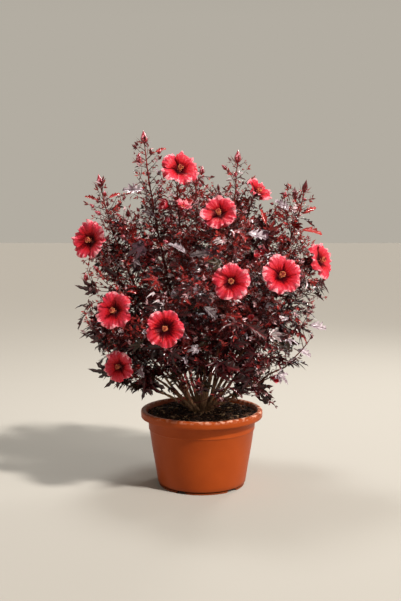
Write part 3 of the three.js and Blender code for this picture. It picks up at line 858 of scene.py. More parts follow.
# The leaves that show one by one: tip, length, the way it points, and the numbers of its template and
# colour. Template 0 is palm-shaped, 1 and 2 are narrower, 3 and 4 are lobed along one midrib.
shownLeaves = [
    ((407, -20, 523), 72, (1, 0, -0.11), 3, 7), ((359, -20, 431), 62, (0.93, 0, -0.36), 3, 7),
    ((286, -80, 347), 72, (0.76, 0, -0.65), 1, 7), ((227, -60, 290), 92, (0.7, -0.2, -0.7), 0, 1),
    ((-418, 0, 643), 95, (-1, 0, -0.1), 1, 1), ((-391, -40, 498), 95, (-1, -0.1, 0.05), 0, 1),
    ((-369, -60, 378), 95, (-1, -0.1, -0.15), 1, 0), ((-310, -80, 333), 85, (-0.7, -0.2, -0.7), 0, 0),
    ((-192, -120, 304), 80, (-0.35, -0.2, -1), 0, 0), ((384, -60, 838), 82, (1, 0, 0), 4, 3),
    ((362, -50, 914), 60, (0.86, 0, 0.5), 4, 3), ((-251, -60, 971), 84, (-1, 0, 0.09), 3, 7),
    ((237, -60, 936), 66, (-0.74, -0.1, 0.67), 3, 7), ((-186, -60, 905), 60, (-0.83, -0.1, 0.55), 4, 7),
    ((-372, -30, 951), 50, (-0.9, 0, 0.43), 4, 3), ((-264, -30, 958), 46, (0.87, 0, 0.5), 4, 5),
    ((-254, -40, 924), 50, (0.79, 0, 0.61), 4, 2), ((-141, -60, 1033), 34, (-0.42, 0, 0.91), 4, 7),
    ((-115, -60, 1098), 42, (0.89, 0, 0.46), 4, 5), ((-219, -60, 1055), 36, (-0.99, 0, 0.11), 4, 3),
    ((-95, -170, 810), 74, (-0.75, 0, 0.66), 4, 7), ((202, -140, 821), 78, (0.99, 0, -0.15), 3, 7),
    ((-81, -60, 939), 74, (-0.97, 0, 0.25), 4, 5), ((1, -230, 745), 82, (-0.85, 0, -0.53), 0, 6),
    ((235, -60, 895), 48, (-0.81, 0, 0.58), 4, 3), ((269, -170, 527), 78, (0.99, 0, 0.16), 1, 8),
    ((48, -280, 585), 66, (0.78, 0, -0.62), 3, 7), ((-50, -270, 484), 52, (-0.98, 0, -0.21), 1, 7),
    ((126, -190, 355), 72, (-0.16, 0, -0.99), 0, 1), ((167, -120, 331), 70, (-0.84, 0, 0.54), 1, 0),
    ((268, -60, 858), 84, (0.85, 0, 0.35), 1, 2), ((172, -50, 872), 76, (-0.6, 0, 0.6), 3, 1),
    ((252, -90, 800), 88, (0.9, 0, -0.3), 1, 1), ((150, -120, 838), 74, (-0.8, 0, 0.2), 1, 6),
    ((226, -60, 850), 80, (0.2, 0, 0.9), 3, 2), ((205, -110, 772), 84, (0.3, 0, -0.9), 0, 1),
    ((190, -90, 905), 60, (-0.2, 0, 0.9), 4, 3), ((282, -70, 812), 70, (0.95, 0, 0.1), 3, 3),
    ((-244, -150, 764), 95, (-0.93, 0, -0.37), 1, 6), ((-65, -260, 608), 70, (-0.3, 0, -0.95), 0, 6),
]

# The blooms that face the photograph's side, the stems of the two tall spires and the leaves turned to
# catch the light and painted in the pale highlight colours show clear there, so nothing grows just
# before them. Clear is how far beside them, in mm.
clear = {"bloom": 57, "stem": 15, "paleLeaf": 19}
shownBlooms = [k for k, faces in enumerate(bloomFaces) if faces[1] < -0.3]
seenFrom = np.array(view["place"], dtype=float)
shownStems = np.array([samples[k][7:21] for k in (0, 1)]).reshape(-1, 3)
paleLeaves = np.array([np.array(tip) - unit(way) * length * share for tip, length, way, template, colour
                       in shownLeaves if colour > 6 for share in (0.2, 0.6)])


def standsBefore(places, shown, room):
    share = (shown[None, :, 1] - seenFrom[1]) / (places[:, None, 1] - seenFrom[1])
    seen = seenFrom + (places[:, None] - seenFrom) * share[..., None]
    apart = np.hypot(seen[..., 0] - shown[None, :, 0], seen[..., 2] - shown[None, :, 2])
    return ((apart < room) & (places[:, None, 1] < shown[None, :, 1] - 4)).any()


def hidesShown(places):
    bloomRoom = clear["bloom"] * bloomScales[shownBlooms][None]
    return (standsBefore(places, bloomCentres[shownBlooms], bloomRoom)
            or standsBefore(places, shownStems, clear["stem"])
            or standsBefore(places, paleLeaves, clear["paleLeaf"]))


# How full the crown is at a place: open low down and to the low right, thin above its shoulders
def fullness(place):
    x, y, z = place
    low = mixed(0.1, 1, rising(z, 318, 483))
    arm = mixed(310, 540, rising(x, 110, 350))
    right = mixed(0.12, 1, clamped((z - arm + 10) / 90)) if x > 120 else 1
    high = mixed(1, 0.2, rising(z, 880, 980))
    skirt = 1 - 0.55 * clamped((math.hypot(x, y) - 265) / 100) * clamped((740 - z) / 60)
    return min(low, right, high) * skirt


# A slightly bowed line from one place to another
def bowed(start, end, sideways, count):
    shares = np.linspace(0, 1, count)[:, None]
    return start + (end - start) * shares + sideways * 4 * shares * (1 - shares)


openAir = {"below": 320, "radius": 285}  # the room over the soil that leaves stay out of
leafCorners = np.array([(0.95, 0, -0.1), (0.62, 0, 0), (0.7, 0.34, 0), (0.7, -0.34, 0)])


# Places one leaf at the largest size that fits, turning it about its root where it doesn't
def addLeaf(kind, index, root, ways, upward, length, colour, draw):
    for share in (1, 0.8, 0.64):
        for along in ways:
            axes = axesOf(along, upward, length * share)
            places = root + leafCorners @ axes
            reach = np.hypot(places[:, 0], places[:, 1])
            if ((places[:, 2] < openAir["below"]) & (reach < openAir["radius"])).any():
                continue
            if inOwnSpace(places, index, growth["interlock"]) and not hidesShown(places):
                target, variants = (leafSprays, 5) if kind == "large" else (smallSprays, 6)
                target.append((int(draw() * variants), axes, root, colour))
                return


# The wood dealt to a fine twig: red high up, wine midway and dark low down
def fineWood(height, draw):
    if height > 900 or draw() < 0.62 * rising(height, 330, 530):
        return wood["red"]
    if height > 560 or draw() < 0.4:
        return wood["wine"]
    return wood["dark"]


# A fine twig with small leaves by turns along it and a young shoot or a bud at its tip
def addFineTwig(stem, root, tip, draw, height, barest=False):
    index = stem["index"]
    along = unit(tip - root)
    reach = np.linalg.norm(tip - root)
    side = np.cross(along, up)
    side = unit(side) if np.linalg.norm(side) > 1e-3 else np.array((1.0, 0.0, 0.0))
    curve = bowed(root, tip, (side * (draw() - 0.5) + up * (draw() - 0.8)) * reach * 0.12, 4)
    radius = growth["fineRadius"]
    slot = fineWood(height, draw)
    finePaths.append((curve, [radius, radius * 0.85, radius * 0.66, 0.35], slot))
    colour = colourAt(height, smallMix, draw)
    count = 2 if barest else max(1, int(reach / growth["nodeSpacing"]))
    low = clamped((620 - height) / 200)
    for k in range(count):
        share = mixed(0.32, 0.96, (k + 0.5) / count)
        place = curve[0] + (curve[-1] - curve[0]) * share
        swing = (1 if k % 2 else -1) * (0.8 + 0.5 * draw())
        droop = -0.35 + 0.8 * (draw() - 0.5)
        ways = [unit(along * 0.6 + side * turned + up * droop) for turned in (swing, -swing)]
        upward = unit(np.array((place[0], place[1], 0)) + 1e-3) + up * (0.3 + 0.8 * draw())
        upward = upward + side * 0.8 * (draw() - 0.5)
        pick = draw()
        if pick < 0.05 + 0.2 * low and place[2] < growth["lastLargeLeaf"] and not barest:
            length = mixed(48, 86, draw())
            addLeaf("large", index, place, ways, upward, length, colourAt(height, leafMix, draw), draw)
        elif pick < (0.8 if barest else 0.55):
            length = mixed(*growth["smallLeaf"], draw()) * mixed(1, 0.7, rising(height, 820, 1070))
            tint = colour if draw() < 0.75 else colourAt(height, smallMix, draw)
            addLeaf("small", index, place, ways, upward, length, tint, draw)
        elif not hidesShown(place[None]):
            size = mixed(*growth["sprig"], draw())
            sprigSprays.append((int(draw() * 3), axesOf(ways[0], upward, size), place,
                                colourAt(height, sprigMix, draw)))
    end = curve[-1]
    pick = draw()
    if hidesShown(end[None]):
        return
    if pick < 0.26 * rising(height, 600, 900):
        size = mixed(*growth["bud"], draw()) * 0.8
        kind = int(draw() * 2)
        budSprays.append((kind, axesOf(along, side, size), end, kind))
    else:
        size = mixed(*growth["sprig"], draw()) * 1.15
        sprigSprays.append((int(draw() * 3), axesOf(along, up + side * (draw() - 0.5), size), end,
                            colourAt(height, sprigMix, draw)))


# A main twig with large leaves by turns along it, the largest low down, and fine twigs between them
def growMainTwig(stem, root, tip, reach, share, draw):
    index = stem["index"]
    along = unit(tip - root)
    side = unit(np.cross(along, up))
    curve = bowed(root, tip, (side * (draw() - 0.5) * 0.6 - up * 0.7) * reach * 0.07, 7)
    if root[2] > 860:
        slot = wood["red"]
    else:
        slot = wood["wine"] if root[2] > 480 or draw() < 0.3 else wood["dark"]
    radius = mixed(twig["radius"], 1.5, share)
    twigPaths.append((curve, [mixed(radius, 0.7, k / 6) for k in range(7)], slot))
    high = share if stem["end"][2] > 900 else share * 0.35
    count = max(1, round(reach / growth["leafSpacing"]))
    colour = colourAt(root[2], leafMix, draw)
    for k in range(count + 1):
        at = mixed(0.22, 0.97, k / count)
        place = curve[0] + (curve[-1] - curve[0]) * at
        swing = (1.1 if k % 2 else -1.1) + 0.4 * (draw() - 0.5)
        droop = -0.45 + 0.9 * (draw() - 0.5)
        turns = (0.2, swing, -swing) if k == count else (swing, -swing, 0.2)
        ways = [unit(along * 0.6 + side * turned + up * droop) for turned in turns]
        outward = unit(np.array((place[0], place[1], 0)) + 1e-3)
        upward = outward + up * (0.35 + 0.7 * draw()) + side * 0.8 * (draw() - 0.5)
        length = mixed(*growth["largeLeaf"], draw()) * (1 - 0.5 * high)
        length *= mixed(0.7, 1, rising(place[2], 320, 440))
        tint = colour if draw() < 0.7 else colourAt(place[2], leafMix, draw)
        likely = max(fullness(place), 0.35) if place[2] < growth["thinAbove"] else 0.12
        if draw() < mixed(0.8, 0.45, rising(place[2], 480, 680)) * likely:
            addLeaf("large", index, place, ways, upward, length, tint, draw)
    for k in range(int(reach / growth["fineOnTwig"])):
        at = (k + 0.6 + 0.5 * draw()) * growth["fineOnTwig"] / reach
        place = curve[0] + (curve[-1] - curve[0]) * at
        if at > 0.98 or draw() > fullness(place):
            continue
        opening = math.radians(mixed(*growth["fineOpeningOnTwig"], draw()))
        length = mixed(*growth["fineLength"], draw()) * 0.75
        found = bestTwig(stem, place, along, goldenAngle * k + index, opening, length,
                         growth["interlock"], 22, 18)
        if found:
            addFineTwig(stem, place, found[0], draw, place[2])


# The source's main twigs, with the same draws, then finer twigs from the stem itself
def growStem(stem):
    index = stem["index"]
    line = stem["line"]
    count = int(stem["reach"] * (1 - stem["bare"]) / twig["spacing"] + 0.5)
    for k in range(count):
        draw = seeded(index, k)
        share = (k + 0.3 + 0.4 * draw()) / count
        t = mixed(stem["bare"] + 0.02, 0.985, share)
        opening = math.radians(twig["opening"] + 14 * (draw() - 0.5))
        length = twig["length"] * (1 - 0.62 * share ** 1.4) * (0.8 + 0.4 * draw())
        turn = goldenAngle * k + index
        root = stemPoint(stem, t)
        found = bestTwig(stem, root, tangentAt(line, t), turn, opening, length,
                         spaceMargin + twig["radius"], twig["inset"], twig["shortest"])
        if found and not (root[2] > 950 and share > 0.6):
            growMainTwig(stem, root, found[0], found[1], share, draw)
    lowest = 0.42 * stem["bare"]
    count = int(stem["reach"] * (1 - lowest) / growth["fineSpacing"])
    for k in range(count):
        draw = seeded(index, 500 + k)
        share = (k + draw()) / count
        t = mixed(lowest, 0.985, share)
        root = stemPoint(stem, t)
        spire = stem["faces"] is None and stem["end"][2] > 900
        length = mixed(*growth["fineLength"], draw()) * (1 - 0.55 * share ** 2)
        length = min(length, 24 + 0.4 * (1 - t) * stem["reach"])
        bareTip = spire and share > 0.62
        likely = tipTwigs[stem["name"]] if bareTip else max(fullness(root), 0.6 if spire else 0.0)
        if draw() > likely:
            continue
        opening = math.radians(mixed(*growth["fineOpening"], draw()))
        found = bestTwig(stem, root, tangentAt(line, t), goldenAngle * k + index * 2, opening, length,
                         growth["interlock"], 14, 14)
        if found:
            addFineTwig(stem, root, found[0], draw, root[2], barest=bareTip)


for stem in stems:
    growStem(stem)
print(f"growth: {len(twigPaths)} twigs, {len(finePaths)} fine twigs, {len(leafSprays)} large leaves, "
      f"{len(smallSprays)} small leaves, {len(sprigSprays)} young shoots, {len(budSprays)} buds")


# Shoots that reach a given place from the nearest stem below it, with young shoots along them

shoot = {
    "leafRadius": 1.4, "budRadius": 1.3, "bloomRadius": 1.7, "closingRadius": 1.2, "spacing": 26,
    "bend": 0.35,
}


def shootTo(target, arriving, radius, slot, leaves, draw):
    target = np.array(target, dtype=float)
    best = None
    for stem in stems:
        for t in np.linspace(stem["bare"], 0.96, 24):
            place = stemPoint(stem, t)
            apart = np.linalg.norm(target - place)
            cost = apart + 1.6 * max(0, place[2] + 0.35 * apart - target[2])
            if best is None or cost < best[0]:
                best = (cost, stem, t, place, apart)
    cost, stem, t, place, apart = best
    leaving = unit(tangentAt(stem["line"], t) * 0.6 + unit(target - place))
    line = np.array([place, place + leaving * apart * shoot["bend"],
                     target - unit(arriving) * apart * shoot["bend"], target])
    curve = np.array([pointAt(line, share) for share in np.linspace(0, 1, 8)])
    twigPaths.append((curve, [mixed(radius, radius * 0.6, k / 7) for k in range(8)], slot))
    for k in range(int(apart / shoot["spacing"]) if leaves else 0):
        at = curve[min(7, 1 + int(draw() * 6))]
        along = unit(curve[-1] - curve[0])
        side = unit(np.cross(along, up) + 1e-3) * (1 if k % 2 else -1)
        size = mixed(*growth["sprig"], draw()) * 1.3
        sprigSprays.append((int(draw() * 3), axesOf(along * 0.5 + side * draw(), up, size), at,
                            colourAt(at[2], sprigMix, draw)))
    return stem


# Buds beside the stems' own: place, scale and template
shownBuds = [
    ((1, -20, 1030), 0.8, 0), ((-233, -60, 895), 0.8, 1), ((-198, -60, 1066), 0.95, 0),
    ((-160, -60, 1086), 0.6, 1), ((296, -40, 956), 1.15, 1), ((-372, -40, 690), 0.8, 0),
    ((52, -60, 975), 0.6, 1), ((-300, -40, 925), 0.6, 1),
]
draw = seeded(70, 3)
for tip, length, way, template, colour in shownLeaves:
    way = unit(way)
    root = np.array(tip, dtype=float) - way * length
    slot = wood["red"] if root[2] > 800 else wood["wine"]
    shootTo(root, way + up * 0.4, shoot["leafRadius"], slot, True, draw)
    lit = 0.5 if colour > 2 else -0.35
    upward = np.array((0.5 * lit, -0.85, lit)) + 0.2 * (draw() - 0.5)
    leafSprays.append((template, axesOf(way, upward, length), root, colour))
for place, scale, kind in shownBuds:
    way = unit(np.array((0.15 * (draw() - 0.5), 0.0, 1.0)))
    root = np.array(place) - way * 20 * scale
    shootTo(root, way, shoot["budRadius"], wood["red"], True, draw)
    budSprays.append((kind, axesOf(way, (0, -1, 0), scale), root, kind))

# Where leafy shoots close the crown: between the tall stems on the left, below those on the right, and
# at the left edge
closingShoots = [
    (-275, -50, 838), (-250, -70, 856), (-232, -40, 830), (-214, -60, 860), (-196, -50, 838),
    (-262, -30, 806), (-240, -80, 796), (-205, -70, 800), (-178, -60, 862), (-292, -60, 862),
    (-222, 20, 812), (-160, -40, 890), (136, -30, 783), (165, -60, 754), (211, -40, 788),
    (249, -60, 758), (284, -40, 790), (300, -60, 740), (192, 10, 816), (239, -20, 818),
    (270, -80, 726), (286, -60, 668), (318, -70, 650), (150, 20, 830), (-335, -40, 700),
    (-300, -60, 690), (-350, -40, 676), (-290, -60, 732), (-318, -20, 722),
]
for place in closingShoots:
    place = np.array(place, dtype=float)
    stem = shootTo(place, up, shoot["closingRadius"], wood["wine"], True, draw)
    for k in range(3):
        way = unit(np.array((1.5 * (draw() - 0.5), draw() - 0.5, 0.8)))
        root = place - up * 12 * k
        addFineTwig(stem, root, root + way * mixed(26, 50, draw()), draw, place[2])
print("shoots placed")


# Leaf templates, 1 long, along +X. Each lobe is a grid drawn out along its own ray; neighbours share the
# point of the notch between them, and teeth point to the lobe's tip. The petiole is a share of the
# length, curl bends the tip down, fold lifts the sides and waves ripple the blade.

alongX = Matrix.Rotation(math.radians(90), 4, "Y")  # turns a cone's axis to +X
stalk = {"foot": 0.014, "thinFoot": 0.013, "tip": 0.009}  # radii, as shares of the leaf's length


def paintFacesOf(verts, zone):
    for face in {face for vert in verts for face in vert.link_faces}:
        face.material_index = zone


def addStalk(bm, petiole, foot):
    verts = bmesh.ops.create_cone(bm, cap_ends=False, segments=3, radius1=foot, radius2=stalk["tip"],
                                  depth=petiole,
                                  matrix=Matrix.Translation((petiole / 2, 0, 0)) @ alongX)["verts"]
    paintFacesOf(verts, 1)
    return verts


def makeLeaf(lobes, steps, petiole, curl, fold, waves, draw):
    bm = bmesh.new()
    uvLayer = bm.loops.layers.uv.new("ownMap")
    blade = 1 - petiole
    teeth = [1.0, 0.6, 0.8, 0.42] if steps > 4 else [1.0, 0.5]
    for number, (angle, length) in enumerate(lobes):
        grid = bmesh.ops.create_grid(bm, x_segments=steps, y_segments=2, size=0.5)["verts"]
        before = (lobes[number - 1][0] + angle) / 2 if number else angle - 36
        after = (lobes[number + 1][0] + angle) / 2 if number + 1 < len(lobes) else angle + 36
        ray = math.radians(angle + 4 * (draw() - 0.5))
        length *= 0.94 + 0.12 * draw()
        for vert in grid:
            i = round((vert.co.x + 0.5) * steps)
            j = round((vert.co.y + 0.5) * 2) - 1
            if i == 0:
                reach, wide, at = 0.0, 0.0, None
            elif i == 1 and j:
                bound = math.radians(before if j < 0 else after)
                notchReach = 0.3 if 0 < number + j < len(lobes) + (j < 0) else 0.13
                at = (blade * notchReach * math.cos(bound), blade * notchReach * math.sin(bound))
                reach, wide = blade * notchReach, blade * 0.12
            elif i == 1:
                reach, wide, at = blade * 0.3, 0.0, None
            else:
                share = mixed(0.42, 1.0, (i - 2) / (steps - 2))
                width = 0 if i == steps else 0.155 * teeth[i - 2] * (1.05 - 0.35 * share)
                reach = blade * length * (share + (0.035 if (i % 2 == 0) and j and i < steps else 0))
                wide, at = blade * width * j * (0.85 + 0.3 * draw()), None
            if at is None:
                at = (reach * math.cos(ray) - wide * math.sin(ray),
                      reach * math.sin(ray) + wide * math.cos(ray))
            far = math.hypot(*at)
            height = fold * abs(wide) - curl * far * far + waves * far * math.sin(9 * ray + 7 * far)
            vert.co = (petiole + at[0], at[1], height)
        for face in {face for vert in grid for face in vert.link_faces}:
            for loop in face.loops:
                offset = loop.vert.co - Vector((petiole, 0, 0))
                ahead = offset.x * math.cos(ray) + offset.y * math.sin(ray)
                beside = -offset.x * math.sin(ray) + offset.y * math.cos(ray)
                loop[uvLayer].uv = (ahead, beside / (0.13 * blade))
    bmesh.ops.remove_doubles(bm, verts=bm.verts, dist=0.012)
    for vert in addStalk(bm, petiole, stalk["foot"]):
        vert.co.z -= 0.35 * curl * petiole * math.sin(math.pi * clamped(vert.co.x / petiole))
    bmesh.ops.dissolve_degenerate(bm, edges=bm.edges, dist=0.0005)
    return templateOf(bm)


# A leaf cut into forward-pointing lobes along one midrib, as most of the upper ones are
def makeFeather(pairs, petiole, width, curl, fold, draw):
    bm = bmesh.new()
    uvLayer = bm.loops.layers.uv.new("ownMap")
    blade = 1 - petiole
    steps = 2 * pairs + 2
    grid = bmesh.ops.create_grid(bm, x_segments=steps, y_segments=2, size=0.5)["verts"]
    for vert in grid:
        i = round((vert.co.x + 0.5) * steps)
        j = round((vert.co.y + 0.5) * 2) - 1
        share = i / steps
        taper = math.sin(math.pi * clamped(0.16 + 0.84 * share)) ** 0.7
        lobe = i % 2 == 1 and j
        wide = width * taper * (0.85 + 0.3 * draw()) if lobe else 0.085 * taper + 0.012
        if i in (0, steps):
            wide = 0
        ahead = share + (0.24 * (1 - share) + 0.03 if lobe else 0)
        far = ahead * blade
        height = fold * wide * abs(j) * blade - curl * far * far + 0.02 * math.sin(9 * far + 2 * j)
        vert.co = (petiole + far, wide * j * blade, height)
    for face in bm.faces:
        for loop in face.loops:
            loop[uvLayer].uv = (loop.vert.co.x - petiole, loop.vert.co.y / (0.3 * blade))
    addStalk(bm, petiole, stalk["thinFoot"])
    bmesh.ops.remove_doubles(bm, verts=bm.verts, dist=0.004)
    bmesh.ops.dissolve_degenerate(bm, edges=bm.edges, dist=0.0005)
    return templateOf(bm)


# Lobes of each kind of leaf: the way each points, in degrees from the middle one, and its length
palm = [(-92, 0.5), (-45, 0.8), (0, 1.0), (45, 0.8), (92, 0.5)]
narrow = [(-74, 0.42), (-34, 0.7), (0, 1.0), (34, 0.7), (74, 0.42)]
young = [(-52, 0.56), (0, 1.0), (52, 0.56)]
slim = [(-38, 0.5), (0, 1.0), (38, 0.5)]
draw = seeded(31, 2)
largeTemplates = [
    makeLeaf(palm, 6, 0.3, 0.35, 0.5, 0.05, draw), makeLeaf(narrow, 6, 0.24, 0.5, 0.7, 0.07, draw),
    makeLeaf(narrow, 6, 0.28, 0.3, 0.9, 0.04, draw), makeFeather(3, 0.18, 0.31, 0.3, 0.6, draw),
    makeFeather(3, 0.16, 0.22, 0.45, 0.8, draw),
]
smallTemplates = [
    makeLeaf(young, 4, 0.3, 0.3, 0.6, 0.06, draw), makeLeaf(slim, 4, 0.26, 0.55, 0.8, 0.05, draw),
    makeLeaf(young, 4, 0.38, 0.2, 0.9, 0.08, draw), makeLeaf(slim, 4, 0.34, 0.35, 0.5, 0.1, draw),
    makeFeather(3, 0.2, 0.22, 0.4, 0.7, draw), makeFeather(2, 0.16, 0.15, 0.6, 0.8, draw),
]


# A lance-shaped leaflet along +X, folded on its midrib, as a grid of two cells each way
def addLeaflet(bm, length, width, matrix, zone, belly=0.45, arch=0.12):
    verts = bmesh.ops.create_grid(bm, x_segments=2, y_segments=2, size=0.5)["verts"]
    for vert in verts:
        i = round((vert.co.x + 0.5) * 2)
        j = round((vert.co.y + 0.5) * 2) - 1
        ahead = (0, belly, 1)[i]
        wide = width * j if i == 1 else 0
        height = 0.45 * abs(wide) - arch * length * ahead * ahead
        vert.co = matrix @ Vector((ahead * length, wide, height))
    paintFacesOf(verts, zone)
    return verts


# A ring of leaflets round the Z axis, each leant outwards from it
def addRing(bm, ring, zone, draw, plump=1.0):
    verts = []
    for k in range(ring["count"]):
        turn = Matrix.Rotation((k + ring["offset"]) * 2 * math.pi / ring["count"], 4, "Z")
        lean = Matrix.Rotation(math.radians(-drawn(ring["lean"], draw)), 4, "Y")
        matrix = turn @ Matrix.Translation(ring["root"]) @ lean
        verts += addLeaflet(bm, drawn(ring["length"], draw), ring["width"] * plump, matrix, zone,
                            ring["belly"], ring["arch"])
    return verts


# A young shoot: a few small folded leaves round the tip of a stalk, 1 long, along +X
def makeSprig(count, spread, draw):
    bm = bmesh.new()
    verts = bmesh.ops.create_cone(bm, cap_ends=False, segments=3, radius1=0.05, radius2=0.03, depth=0.6,
                                  matrix=Matrix.Translation((0.3, 0, 0)) @ alongX)["verts"]
    paintFacesOf(verts, 1)
    for k in range(count):
        turn = Matrix.Rotation(k * 2.4, 4, "X")
        tilt = Matrix.Rotation(-math.radians(spread * (0.5 + 0.8 * draw())), 4, "Y")
        place = Matrix.Translation((mixed(0.15, 0.6, k / count), 0, 0))
        addLeaflet(bm, mixed(0.55, 0.95, draw()), mixed(0.1, 0.17, draw()), place @ turn @ tilt, 0)
    bmesh.ops.remove_doubles(bm, verts=bm.verts, dist=0.004)
    return templateOf(bm)


draw = seeded(32, 5)
sprigTemplates = [makeSprig(5, 55, draw), makeSprig(4, 75, draw), makeSprig(6, 42, draw)]


# A bud: furled petals in a twist, held by pointed sepals and a ring of thin bracts. Millimetres, +X up.
bud = {
    "profile": [(0.1, 1), (6.4, 4), (9, 10), (9.2, 16), (6.6, 23), (3.2, 30), (0.1, 37)],
    "turns": 20, "twist": 0.05, "furl": 0.12, "paintedRidgesAbove": 9, "sepalSpread": 0.42,
    "sepals": {"count": 5, "offset": 0, "root": (2.6, 0, 0), "lean": 76, "length": (19, 26), "width": 6,
               "belly": 0.4, "arch": -0.42},
    "bracts": {"count": 10, "offset": 0.5, "root": (2.6, 0, 0), "lean": (10, 58), "length": (22, 31),
               "width": 1.9, "belly": 0.4, "arch": -0.35},
}


def makeBud(plump, paintedRidges, draw):
    bm = bmesh.new()
    first, *middle, last = bud["profile"]
    spun(bm, [first] + [(radius * plump, height) for radius, height in middle] + [last], bud["turns"])
    for vert in bm.verts:
        angle = math.atan2(vert.co.y, vert.co.x) + vert.co.z * bud["twist"]
        reach = math.hypot(vert.co.x, vert.co.y) * (1 + bud["furl"] * math.cos(5 * angle))
        vert.co.x, vert.co.y = reach * math.cos(angle), reach * math.sin(angle)
    # Painted highlight: the crests of the furled petals above the sepals take the pale pink ridge colour
    for face in bm.faces:
        centre = face.calc_center_median()
        turned = 5 * (math.atan2(centre.y, centre.x) + centre.z * bud["twist"])
        paintedRidge = paintedRidges and centre.z > bud["paintedRidgesAbove"] and math.cos(turned) > 0.5
        face.material_index = 2 if paintedRidge else 0
    for vert in addRing(bm, bud["sepals"], 1, draw, plump):
        vert.co += Vector((vert.co.x, vert.co.y, 0)) * bud["sepalSpread"] * plump
    addRing(bm, bud["bracts"], 1, draw)
    bmesh.ops.create_cone(bm, cap_ends=True, segments=6, radius1=1.4, radius2=3.6, depth=5)
    for face in bm.faces:
        if face.calc_center_median().z < 2.6 and len(face.verts) != 3:
            face.material_index = 1
    bmesh.ops.rotate(bm, verts=bm.verts, cent=(0, 0, 0), matrix=alongX.to_3x3())
    return templateOf(bm)


draw = seeded(33, 5)
budTemplates = [makeBud(1.0, True, draw), makeBud(0.8, False, draw)]


# Bloom templates: five overlapping petals, each a grid drawn out in polar lines, +Z the way it faces.
# Each petal lies over one neighbour and under the other. Folds fan out over it and end in notches, and
# its edge is ruffled between them.

petal = {
    "count": 5, "steps": 20, "columns": 28, "halfAngle": (35, 48), "root": 0.05,
    "notchWidth": 0.08, "notchCut": 0.06, "notchDip": 3, "frillCut": 0.05, "cornerCut": 0.33,
    "foldHeight": 13, "frillHeight": 17, "creaseHeight": 0.7, "creases": 17,
    "throat": 11, "rise": 29, "rollBack": 10, "overlap": 4.8, "belly": 8, "closing": 40,
    "narrowing": 0.7,
    # where throat, eye, eye's edge, inner, middle and outer zone end
    "zoneEdges": [0.2, 0.32, 0.42, 0.56, 0.75, 0.95],
}
heart = {
    "columnZone": 8, "antherZone": 9, "stigmaZone": 10, "calyxZone": 11,
    "anthers": 34, "lowAnthers": 10, "antherRadius": 1.25, "stigmas": 5, "stigmaRadius": 1.7,
    "stigmaReach": 2.9, "stigmaHeight": 24,
    "sepals": {"count": 5, "offset": 0.5, "root": (6, 0, -13), "lean": 38, "length": 25, "width": 7.5,
               "belly": 0.35, "arch": 0.1},
    "bracts": {"count": 10, "offset": 0, "root": (3, 0, -20), "lean": (5, 30), "length": (12, 16),
               "width": 0.9, "belly": 0.4, "arch": -0.2},
}


